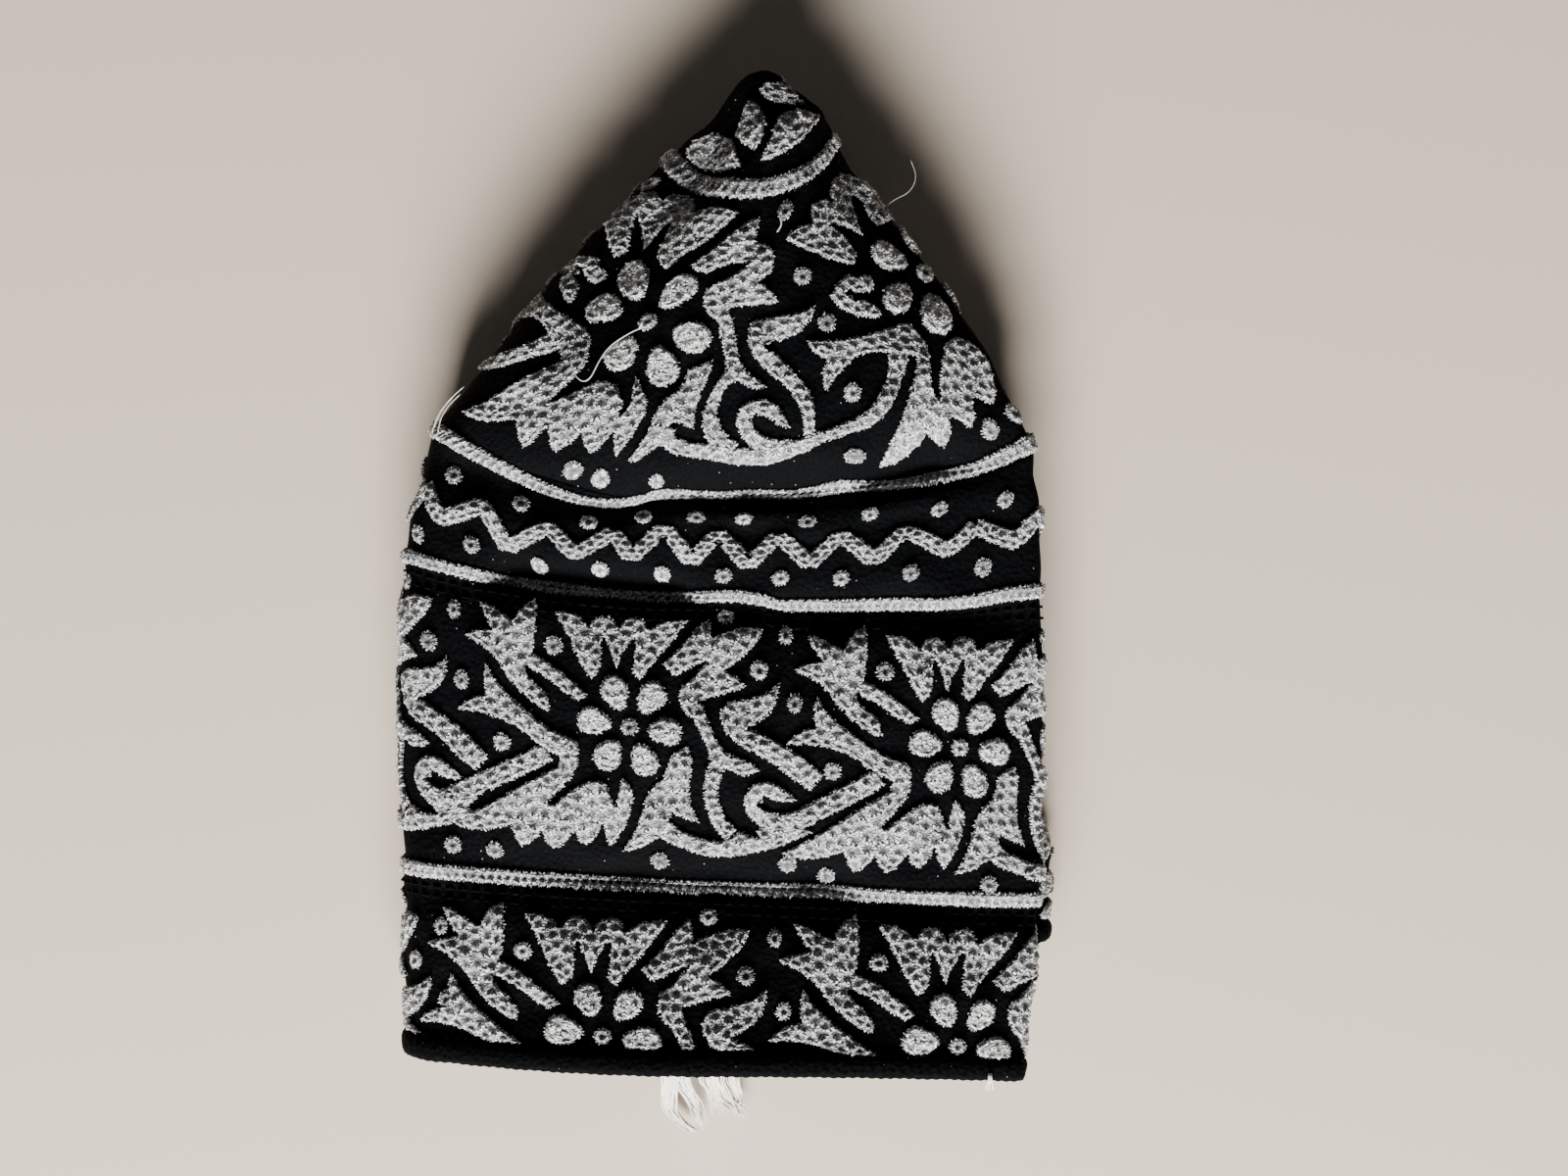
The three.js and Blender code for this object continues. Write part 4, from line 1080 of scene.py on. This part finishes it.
SECOND_COMB = [
    (34.3, -60.5), (34.3, -64), (33.3, -68), (32.3, -72.5), (31, -77), (29.8, -80.5), (28.5, -85.8),
    (30.5, -85.3), (33, -84), (35.5, -81.5), (37.3, -79), (38, -77.3), (40.5, -78.8), (43, -79.5),
    (43.8, -77.5), (43.5, -75), (43, -72.8), (46, -73.5), (48, -74.6), (49, -72), (48.3, -69.5),
    (48.5, -67), (51.5, -68), (53, -67.8), (54, -65.5), (53.5, -64), (52.5, -60.5), (51, -58), (48, -55.8),
    (45.5, -55), (43.5, -55.5), (41, -57.5), (40.3, -62), (40, -66.5), (40.3, -69.8), (38.5, -68.5),
    (37.8, -65.5), (37.3, -61.5), (36, -59)]
FIRST_COMB = [
    (-64, -64.5), (-60, -63.3), (-57, -61), (-52.5, -58.5), (-47.5, -57), (-43.5, -55.8), (-42, -55),
    (-37.8, -51.5), (-38, -55.5), (-38.3, -58.5), (-40, -59.8), (-42.5, -62), (-45, -64.5), (-45.8, -66),
    (-43.5, -65.5), (-40, -64.3), (-37, -63.3), (-34.5, -63), (-32, -64.5), (-30.5, -67.5), (-30, -70.5),
    (-29.3, -71.5), (-28.5, -69.5), (-28, -66.5), (-27.3, -63.5), (-26.5, -66.5), (-24.8, -68.8),
    (-25, -72), (-26.5, -75), (-28, -77.5), (-29.5, -80), (-30.5, -81.9), (-31.3, -79.5), (-31.5, -75.5),
    (-32.8, -76.5), (-34, -79), (-36.3, -80.3), (-37.8, -78), (-38.5, -74.5), (-40.3, -77), (-43.8, -79),
    (-45, -77), (-45.3, -73.5), (-45.8, -72), (-47.5, -73.5), (-49, -76), (-50.8, -76.6), (-52, -74),
    (-52.3, -69.5), (-53.5, -68.5), (-57, -68.5), (-60, -68)]
FIRST_FLOWER = (-25.1, -51.5)
SECOND_FLOWER = (37.5, -41.3)
# Petals: the middle, length and width of each, and where it points to
FIRST_PETALS = [(-28.9, -40, 12, 7), (-35, -45.5, 9.5, 7), (-30.6, -57.6, 8.2, 7.2),
                (-21.9, -62.3, 9.7, 6.8), (-15.6, -56.8, 9, 6.8), (-18.6, -45.8, 9.5, 6.8)]
SECOND_PETALS = [(28.9, -39.2, 9, 6.5), (30.4, -48.5, 8.7, 6.5), (39.1, -50.8, 9.8, 7.6),
                 (46.2, -43.5, 9, 6.5), (45, -35.2, 8.7, 6.5), (36.5, -32.3, 9, 6.8)]
CROWN_DOTS = [(7.8, -45, 2.1, 2.1), (13.5, -55.6, 2.1, 2.1), (19.6, -70.6, 2.1, 2.1), (4, -29, 1.7, 2.4),
              (21.8, -83.9, 2.8, 1.7)]
RIM_DOTS = [(-34, -87.5, 2, 2.9), (-40, -84.5, 2.2, 2.9), (-21.9, -89.1, 1.6, 2.2), (52.5, -73.3, 2.1, 2.1),
            (58, -68.3, 2.4, 1.8)]
MEDALLION = [
    [(-3.1, -17.2), (-2.2, -14.7), (-1.2, -11.9), (0, -9.8), (1.2, -8.4), (3.2, -7.2), (5.8, -6.4),
     (8.5, -6.6), (10.8, -6.2), (10.4, -7.8), (9, -10), (7.2, -12.5), (5, -14.6), (2.4, -16.1), (0, -17.1),
     (-2, -17.5)],
    [(-9.5, -7.9), (-7.8, -6.4), (-5.8, -4.7), (-4.1, -4), (-2.6, -5.2), (-1.6, -6.4), (-1.9, -8.5),
     (-2.6, -10.8), (-3.4, -12.6), (-4.4, -14.8), (-5.8, -13.7), (-7.4, -12), (-8.8, -9.9)],
    [(-19, -5.4), (-16.5, -3.8), (-13, -4.1), (-11.3, -7), (-9.3, -11), (-8, -14.8), (-7, -17.3),
     (-9.5, -16.9), (-12.5, -15.8), (-15.5, -13.2), (-17.7, -10.3), (-18.8, -7.6)],
]
TIP_PETAL = [(-1.5, -2.1), (0, -0.4), (3, -0.1), (5.6, -1), (7.2, -4), (5.4, -5.2), (2.4, -5.2), (0, -4.2)]


def crown_place(turned=0.0):
    """Takes places on the flat disc, turned round its middle, to the cloth."""
    def to_cloth(places):
        radius = np.hypot(places[:, 0], places[:, 1])
        return np.arctan2(places[:, 0], -places[:, 1]) + turned, LENGTH - radius
    return to_cloth


def petal_cells(flower, petals):
    for x, y, length, width in petals:
        angle = math.atan2(y - flower[1], x - flower[0])
        yield fill_cells(teardrop((x, y), length, width, angle), pitch=PETAL_PITCH), "petal"
    yield dot_cell(*flower, 2.1), "dot"


def sunk(*outlines):
    return [(charted(outline), "sunk") for outline in outlines]


def dots(places):
    return [(dot_cell(*dot), "dot") for dot in places]


right_side = sunk(*CROWN_RIGHT_SIDE.values()) + dots(CROWN_DOTS)
bent_leaf = sunk(BENT_LEAF)
left_side = sunk(*CROWN_LEFT_SIDE.values())
first = sunk(FIRST_TRIPLE_LEAF, FIRST_COMB) + [*petal_cells(FIRST_FLOWER, FIRST_PETALS), *dots(RIM_DOTS)]
second = sunk(SECOND_TRIPLE_LEAF, SECOND_COMB) + [*petal_cells(SECOND_FLOWER, SECOND_PETALS)]
first_turn = -CROWN_REPEAT_TURN
OTHER_REPEATS = [math.radians(degrees) for degrees in (72.8, 145.8, 218.8)]
bent_leaf_turns = [0, first_turn + BENT_LEAF_TURN, *OTHER_REPEATS]
top = Stitching("crown_embroidery")
crown_turns = ((right_side, [0, CROWN_REPEAT_TURN] + [CROWN_REPEAT_TURN + more for more in OTHER_REPEATS]),
               (left_side, [0, first_turn] + OTHER_REPEATS), (bent_leaf, bent_leaf_turns), (first, [0]),
               (second, [0] + OTHER_REPEATS))
for shapes, turns in crown_turns:
    for cells, kind in shapes:
        for turned in turns:
            top.add(cells, crown_place(turned), kind)
RING_MIDDLE = (-0.6, -0.9)
RING_RADIUS = 22.2
RING_WIDTH = 4.3
RING_PITCH = 2.0
RING_PARTS = 5
ring = stripe_cells(TURN * RING_RADIUS / RING_PARTS, RING_WIDTH, RING_PITCH)


def ring_place(part):
    on_crown = crown_place()

    def to_cloth(places):
        turn = places[:, 0] / RING_RADIUS + part * TURN / RING_PARTS
        radius = RING_RADIUS - places[:, 1]
        return on_crown(np.stack([RING_MIDDLE[0] + radius * np.sin(turn),
                                  RING_MIDDLE[1] - radius * np.cos(turn)], axis=1))
    return to_cloth


for part in range(RING_PARTS):
    top.add(ring, ring_place(part))
for outline in MEDALLION:
    cells = charted(outline)
    top.add(cells, crown_place())
    top.add(cells, crown_place(math.pi))
top.add(charted(TIP_PETAL), crown_place())
top.make()
stripes.make()


HEM_COLUMNS = 1500
HEM_TWIST = 290  # stitches of the rolled edge round the hem
HEM_HALF_HEIGHT = 2.5
HEM_MIDDLE = 1.75
HEM_HALF_WALL = 1.45
HEM_POINTS = 14
HEM_INSIDE = 4  # mm inside the edge, to find the way that the cloth runs towards it
TWIST_DEPTH = 0.1
TWIST_SLANT = 1.5
SWELL_DEPTH = 0.05
SWELLS = 61
CORNER_POWER = 3  # how square the rolled edge is
HEM_FLOOR_GAP = 0.2
HEM_MAP = 30  # units of its map for one unit of turn


def past_hem(turn, up, height):
    """Points on the cloth, or beyond its edge where up is below zero."""
    edge = on_cloth(turn, 0 * turn, height)
    inside = on_cloth(turn, 0 * turn + HEM_INSIDE, height)
    way = (edge - inside) / np.linalg.norm(edge - inside, axis=-1, keepdims=True)
    return on_cloth(turn, np.maximum(up, 0), height) + way * np.maximum(-up, 0)[..., None] * MM


def hem_roll():
    """The bound edge: a rolled strip round the hem, overcast with slanted stitches."""
    turn = TURN * np.arange(HEM_COLUMNS) / HEM_COLUMNS
    angle = TURN * np.arange(HEM_POINTS) / HEM_POINTS
    turns, angles = np.meshgrid(turn, angle)
    twist = TWIST_DEPTH * np.sin(HEM_TWIST * turns + TWIST_SLANT * np.sin(angles))
    twist = twist + SWELL_DEPTH * np.sin(SWELLS * turns)
    square = np.abs(np.cos(angles)) ** CORNER_POWER + np.abs(np.sin(angles)) ** CORNER_POWER
    square = 1 / square ** (1 / CORNER_POWER)
    up = HEM_MIDDLE + (HEM_HALF_HEIGHT + twist) * square * np.sin(angles)
    out = (HEM_HALF_WALL + twist) * square * np.cos(angles)
    points = past_hem(turns, up, out)
    points[..., 2] = np.maximum(points[..., 2], HEM_FLOOR_GAP * MM)
    faces = grid_faces(HEM_POINTS + 1, HEM_COLUMNS) % (HEM_POINTS * HEM_COLUMNS)
    uvs = np.stack([turns.ravel() * HEM_MAP, angles.ravel()], axis=1)
    return add_mesh("hem_roll", points.reshape(-1, 3), faces, uvs=uvs)


# Rings of a stitch: where along it each lies, its width as a share of the thread's, and its lift in mm
STITCH_RINGS = np.array([(0, 0.25, -0.35), (0.15, 0.85, 0), (0.5, 1, 0.14), (0.85, 0.85, 0),
                         (1, 0.25, -0.35)])
THREAD_SIDES = 5


def rod_faces(rings):
    """Faces of a closed rod of thread between rings of points."""
    sides = THREAD_SIDES
    faces = []
    for ring in range(rings - 1):
        for side in range(sides):
            a, b = ring * sides + side, ring * sides + (side + 1) % sides
            faces += [(a, b, b + sides), (a, b + sides, a + sides)]
    last = (rings - 1) * sides
    for side in range(1, sides - 1):
        faces += [(0, side + 1, side), (last, last + side, last + side + 1)]
    return np.array(faces)


def running_stitches(name, follow, gap_share=0.25, pitch=2.9, radius=0.34, height=0.2):
    """A row of short black stitches round the cap, each a spindle that dives into the cloth at its ends."""
    count = int(HEAD_LOOP / pitch)
    length = HEAD_LOOP / count
    shares, widths, lifts = STITCH_RINGS.T
    widths = widths * radius
    angle = TURN * np.arange(THREAD_SIDES) / THREAD_SIDES
    start = np.arange(count)[:, None, None] * length
    along = start + shares[None, :, None] * length * (1 - gap_share) + 0 * angle
    up = follow(along) + widths[None, :, None] * np.cos(angle)
    out = height + lifts[None, :, None] + widths[None, :, None] * np.sin(angle) + 0 * along
    points = on_cloth(TURN * along / HEAD_LOOP, up, out).reshape(-1, 3)
    faces = rod_faces(len(shares)) + (np.arange(count) * len(shares) * THREAD_SIDES)[:, None, None]
    return add_mesh(name, points, faces.reshape(-1, 3))


def level(up):
    return lambda along: up + 0 * along


hem = hem_roll()
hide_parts("hem_binding")
stitch_rows = [running_stitches("hem_stitches", level(4.9), 0.2, 2.3, 0.3, 0.35)]
# The other rows: the name of each, the stripe that it runs along and how far from its middle
STITCH_ROWS = (("stripe_stitches", "under the zigzag", -3.4), ("border_stitches", "above the border", -3.6),
               ("second_stripe_stitches", "under the zigzag", -5.8),
               ("second_border_stitches", "above the border", -5.7))
for name, stripe, offset in STITCH_ROWS:
    follow = periodic([(along, up + offset) for along, up in STRIPES[stripe][-1]])
    stitch_rows.append(running_stitches(name, follow))


THREAD_END = 0.4  # of its radius


def tube(line, radius):
    """Points and faces of a thread along a line of points in metres."""
    line = np.array(line, float)
    way = np.gradient(line, axis=0)
    way /= np.linalg.norm(way, axis=1, keepdims=True)
    side = np.cross(way, [0.0, 0.0, 1.0])
    side /= np.maximum(np.linalg.norm(side, axis=1, keepdims=True), 1e-9)
    over = np.cross(side, way)
    angle = TURN * np.arange(THREAD_SIDES)[None, :, None] / THREAD_SIDES
    radii = np.full(len(line), radius * MM)
    radii[-1] *= THREAD_END
    rings = side[:, None] * np.cos(angle) + over[:, None] * np.sin(angle)
    points = line[:, None] + radii[:, None, None] * rings
    return points.reshape(-1, 3), rod_faces(len(line))[:, [0, 2, 1]]


def thread_piece(name, lines):
    """Several threads, each a line and a radius in mm, as one mesh."""
    parts = [tube(line, radius) for line, radius in lines]
    first = np.cumsum([0] + [len(points) for points, _ in parts[:-1]])
    points = np.concatenate([points for points, _ in parts])
    faces = np.concatenate([faces + start for (_, faces), start in zip(parts, first)])
    return add_mesh(name, points, faces)


CAMERA_HEIGHT = 450
PIXEL = 0.2128  # mm of the object for one pixel of the photo, at PIXEL_HEIGHT mm over the floor
PIXEL_HEIGHT = 20
PHOTO_MIDDLE = (800, 600)
TOP_GUESS = 28.0  # mm over the floor


def seen_at(px, py, z):
    """The place in mm that is seen at a pixel of the photo, at a height over the floor."""
    scale = PIXEL * (CAMERA_HEIGHT - z) / (CAMERA_HEIGHT - PIXEL_HEIGHT)
    return np.array([(px - PHOTO_MIDDLE[0]) * scale, (PHOTO_MIDDLE[1] - py) * scale, z]) + ROW_SHIFT


def on_top_at(px, py, lift):
    """The place on the top of the cloth that is seen at a pixel of the photo, lifted a little."""
    z = TOP_GUESS
    for _ in range(3):
        place = seen_at(px, py, z)
        away = (GRID[..., 0] - place[0]) ** 2 + (GRID[..., 1] - place[1]) ** 2
        z = GRID[..., 2][away < np.min(away) + 4].max()
    place[2] = z + lift
    return place


def smooth_path(points, count):
    """An even curve through points, rounded at each of them."""
    line = np.array(points, float)
    for _ in range(3):
        cut = np.concatenate([line[:1], np.repeat(line[1:-1], 2, axis=0), line[-1:]])
        cut[1:-1:2] = line[1:-1] * 0.75 + line[:-2] * 0.25
        cut[2:-1:2] = line[1:-1] * 0.75 + line[2:] * 0.25
        line = cut
    steps = np.concatenate([[0], np.cumsum(np.linalg.norm(np.diff(line, axis=0), axis=1))])
    even = np.linspace(0, steps[-1], count)
    return np.stack([np.interp(even, steps, line[:, k]) for k in range(3)], axis=1)


LOWEST_TUFT_PIXEL = 1155
TUFT_END_HEIGHT = 1.8
TUFT_RADIUS = (0.14, 0.22)
TUFT_STEPS = 14
ROOT_SPREAD = 10  # pixels
TIP_SPREAD = 0.8
MIDDLE_SPREAD = 2
TUFT_OVER = (0.2, 1.5)  # mm that the strands lie over one another
# Each bundle: the root's and the tip's pixels, the bulge of its middle in pixels, strands and spread
BUNDLES = [((684, 709), (1100, 1163), -13, 26, 4.5), ((694, 715), (1100, 1146), 5, 18, 4),
           ((722, 733), (1100, 1133), 3, 16, 5.5), ((729, 752), (1100, 1135), -2, 14, 5),
           ((745, 754), (1100, 1128), 2, 12, 3.5)]


def tuft():
    """Loose white thread ends that hang out of the cap under its hem and lie on the floor."""
    lines = []
    for (root_x, tip_x), (root_y, tip_y), bulge, strands, spread in BUNDLES:
        for _ in range(strands):
            start = root_x + random.uniform(-ROOT_SPREAD, ROOT_SPREAD)
            end_x = tip_x + random.normal(0, spread * TIP_SPREAD)
            end_y = min(tip_y + random.normal(0, spread * TIP_SPREAD), LOWEST_TUFT_PIXEL)
            middle_x = (start + end_x) / 2 + bulge + random.normal(0, MIDDLE_SPREAD)
            over = random.uniform(*TUFT_OVER)
            # From under the hem out over the edge, then down to the floor
            places = [seen_at(start, root_y - 14, 20), seen_at(start, root_y + 4, 17.5),
                      seen_at((start + middle_x) / 2, root_y * 0.7 + tip_y * 0.3, 8.5),
                      seen_at(middle_x, root_y * 0.42 + tip_y * 0.58, 1.5 + over),
                      seen_at(end_x, end_y, TUFT_END_HEIGHT + over * 0.4)]
            lines.append((smooth_path(places, TUFT_STEPS) * MM, random.uniform(*TUFT_RADIUS)))
    return thread_piece("thread_tuft", lines)


# The loose threads' routes, in pixels of the photo
CURL = [(583, 365), (586.5, 383), (595, 391), (603.5, 387), (610.5, 371.5), (620.5, 356), (634, 346),
        (651, 336.5), (663, 334)]
DROP = [(796, 222), (798, 230), (793, 238)]
HEM_ENDS = [(1009, 1009), (1010.5, 1013), (1008, 1006)]
EDGE_HAIRS = [[(441, 441), (446, 424), (458, 408), (474, 394)], [(443, 436), (451, 417), (464, 403)],
              [(447, 441), (449, 428), (457, 414), (470, 402)]]
FAR_HAIR = [(903, 211), (914, 203), (929, 196), (936, 180), (929, 163)]
# Radius of each thread, mm
CURL_RADIUS = 0.12
DROP_RADIUS = 0.18
HEM_END_RADIUS = 0.2
EDGE_HAIR_RADIUS = 0.11
FAR_HAIR_RADIUS = 0.05
# Height over the cloth for threads that lie on it, and over the floor for hairs that stand off it, mm
CURL_OVER = 1.5
DROP_OVER = 1.3
EDGE_HAIR_HEIGHT = 22
FAR_HAIR_HEIGHT = 20


def loose_threads():
    """Thread ends that lie on the cap or stand off its outline."""
    lines = [(smooth_path([on_top_at(*pixel, CURL_OVER) for pixel in CURL], 40) * MM, CURL_RADIUS),
             (smooth_path([on_top_at(*pixel, DROP_OVER) for pixel in DROP], 10) * MM, DROP_RADIUS)]
    for top, low in HEM_ENDS:
        places = [on_top_at(top, 1093, 2.0), on_top_at(top, 1101, 2.2), seen_at(low, 1107, 22.5),
                  seen_at(low, 1113, 21.5)]
        lines.append((smooth_path(places, 8) * MM, HEM_END_RADIUS))
    for hair in EDGE_HAIRS:
        places = [seen_at(x, y, EDGE_HAIR_HEIGHT) for x, y in hair]
        lines.append((smooth_path(places, 16) * MM, EDGE_HAIR_RADIUS))
    places = [seen_at(x, y, FAR_HAIR_HEIGHT) for x, y in FAR_HAIR]
    lines.append((smooth_path(places, 24) * MM, FAR_HAIR_RADIUS))
    return thread_piece("loose_threads", lines)


threads = [tuft(), loose_threads()]


def new_material(name, roughness):
    """A node material: itself, its shader, and functions for a node, for maths, for colour and for bumps."""
    material = bpy.data.materials.new(name)
    material.use_nodes = True
    tree = material.node_tree
    shader = tree.nodes["Principled BSDF"]
    shader.inputs["Roughness"].default_value = roughness

    def connect(socket, value):
        if isinstance(value, bpy.types.NodeSocket):
            tree.links.new(value, socket)
        else:
            socket.default_value = value

    def add(kind, **values):
        node = tree.nodes.new(kind)
        for key, value in values.items():
            if hasattr(node, key):
                setattr(node, key, value)
            else:
                connect(node.inputs[key.replace("_", " ")], value)
        return node

    def maths(operation, *values):
        node = add("ShaderNodeMath", operation=operation)
        for socket, value in zip(node.inputs, values):
            connect(socket, value)
        return node.outputs[0]

    def colour(value, *stops):
        """The shader's colour, by a ramp with stops of place and colour."""
        node = add("ShaderNodeValToRGB", Fac=value)
        while len(node.color_ramp.elements) < len(stops):
            node.color_ramp.elements.new(0.5)
        for element, (place, shade) in zip(node.color_ramp.elements, stops):
            element.position = place
            element.color = (*shade, 1)
        connect(shader.inputs["Base Color"], node.outputs["Color"])

    def bump(height, strength, distance):
        node = add("ShaderNodeBump", Strength=strength, Distance=distance, Height=height)
        connect(shader.inputs["Normal"], node.outputs["Normal"])
    return material, shader, add, maths, colour, bump


def floor_material():
    material, shader, *_ = new_material("pale_floor", 0.6)
    shader.inputs["Base Color"].default_value = (0.665, 0.565, 0.46, 1)
    return material


def black_material():
    """Black ground cloth, closely stitched over with fine black thread, with a little lint on it."""
    material, shader, add, maths, colour, bump = new_material("black_cloth", 0.8)
    place = add("ShaderNodeTexCoord").outputs["Object"]
    weave = add("ShaderNodeTexNoise", Vector=place, Scale=1400.0, Detail=2.0, Roughness=0.6)
    stitches = add("ShaderNodeTexVoronoi", Vector=place, Scale=900.0)
    lint = add("ShaderNodeTexVoronoi", Vector=place, Scale=350.0)
    speck = add("ShaderNodeMapRange", Value=lint.outputs["Distance"], From_Min=0.055, From_Max=0.03)
    colour(maths("ADD", weave.outputs["Fac"], speck.outputs["Result"]), (0.3, (0.0009, 0.001, 0.0013)),
           (0.75, (0.0026, 0.0029, 0.0036)), (1.0, (0.3, 0.3, 0.31)))
    bump(stitches.outputs["Distance"], 0.6, 0.0004)
    shader.inputs["Specular IOR Level"].default_value = 0.03
    return material


BLACK = black_material()
for piece in (band, crown, hem, *stitch_rows):
    piece.data.materials.append(BLACK)


def thread_material():
    """Grey-white embroidery thread. The cell map's u runs round each needle hole and v outwards from it."""
    material, shader, add, maths, colour, bump = new_material("embroidery_thread", 0.6)
    place = add("ShaderNodeTexCoord").outputs["Object"]
    cell = add("ShaderNodeUVMap", uv_map="cell")
    # tone carries the cells' painted shade and their random tone
    tone = add("ShaderNodeAttribute", attribute_name="tone")
    wander = add("ShaderNodeTexNoise", Vector=place, Scale=700.0, Detail=2.0)
    split = add("ShaderNodeSeparateXYZ", Vector=cell.outputs["UV"])
    # painted sheen: the threads round each hole are lighter and darker by turns; the same streaks also make
    # the bump
    turns = maths("MULTIPLY", split.outputs["X"], TURN * 13)
    plies = maths("SINE", maths("MULTIPLY_ADD", wander.outputs["Fac"], 9.0, turns))
    lift = maths("MULTIPLY_ADD", plies, 0.5, 0.5)
    uneven = add("ShaderNodeTexNoise", Vector=place, Scale=1700.0, Detail=2.0)
    grain = add("ShaderNodeMapRange", Value=uneven.outputs["Fac"], From_Min=0.36, From_Max=0.66)
    spread = maths("MULTIPLY_ADD", lift, 0.6, grain.outputs["Result"])
    shade = add("ShaderNodeMapRange", Value=spread, From_Max=1.5, To_Min=0.42, To_Max=1.3)
    colour(maths("MULTIPLY", tone.outputs["Fac"], shade.outputs["Result"]), (0.0, (0.02, 0.021, 0.024)),
           (0.4, (0.1, 0.103, 0.108)), (0.7, (0.29, 0.295, 0.305)), (0.88, (0.6, 0.605, 0.61)),
           (1.0, (0.97, 0.97, 0.965)))
    bump(spread, 0.9, 0.0002)
    shader.inputs["Sheen Weight"].default_value = 0.15
    return material


THREAD = thread_material()
for piece in bpy.data.objects:
    if "embroidery" in piece.name:
        piece.data.materials.append(THREAD)


def loose_material():
    """Undyed white thread."""
    material, shader, add, maths, colour, bump = new_material("white_thread", 0.6)
    place = add("ShaderNodeTexCoord").outputs["Object"]
    noise = add("ShaderNodeTexNoise", Vector=place, Scale=900.0, Detail=2.0)
    colour(noise.outputs["Fac"], (0.3, (0.52, 0.49, 0.43)), (0.7, (0.8, 0.78, 0.73)))
    return material


WHITE = loose_material()
for piece in threads:
    piece.data.materials.append(WHITE)


FLOOR_SIZE = 4


def set_floor():
    """A plain pale floor."""
    bpy.ops.mesh.primitive_plane_add(size=FLOOR_SIZE, location=(0, 0, 0))
    floor = bpy.context.object
    floor.name = "floor"
    floor.data.materials.append(floor_material())


WINDOW_PLACE = (-0.08, -1.43, 0.69)
WINDOW_SIZE = (0.95, 0.5)
WINDOW_POWER = 128
WINDOW_COLOUR = (1.0, 0.985, 0.955)
LENS = 45.47
SENSOR = 36


def set_light():
    """A low, wide window beyond the hem's side."""
    data = bpy.data.lights.new("window", "AREA")
    data.shape = "RECTANGLE"
    data.size, data.size_y = WINDOW_SIZE
    data.energy = WINDOW_POWER
    data.color = WINDOW_COLOUR
    light = bpy.data.objects.new("window", data)
    light.location = WINDOW_PLACE
    way = -Vector(WINDOW_PLACE)
    light.rotation_euler = way.to_track_quat("-Z", "Y").to_euler()
    bpy.context.scene.collection.objects.link(light)


def set_camera():
    data = bpy.data.cameras.new("camera")
    data.sensor_fit = "HORIZONTAL"
    data.sensor_width = SENSOR
    data.lens = LENS
    camera = bpy.data.objects.new("camera", data)
    camera.location = (ROW_SHIFT[0] * MM, ROW_SHIFT[1] * MM, CAMERA_HEIGHT * MM)
    camera.rotation_euler = (0, 0, 0)
    bpy.context.scene.collection.objects.link(camera)
    bpy.context.scene.camera = camera


def set_world():
    world = bpy.data.worlds.new("studio")
    world.use_nodes = True
    background = world.node_tree.nodes["Background"]
    background.inputs["Color"].default_value = (0.93, 0.96, 1.0, 1)
    background.inputs["Strength"].default_value = 0.05
    bpy.context.scene.world = world


set_floor()
set_camera()
set_world()
set_light()
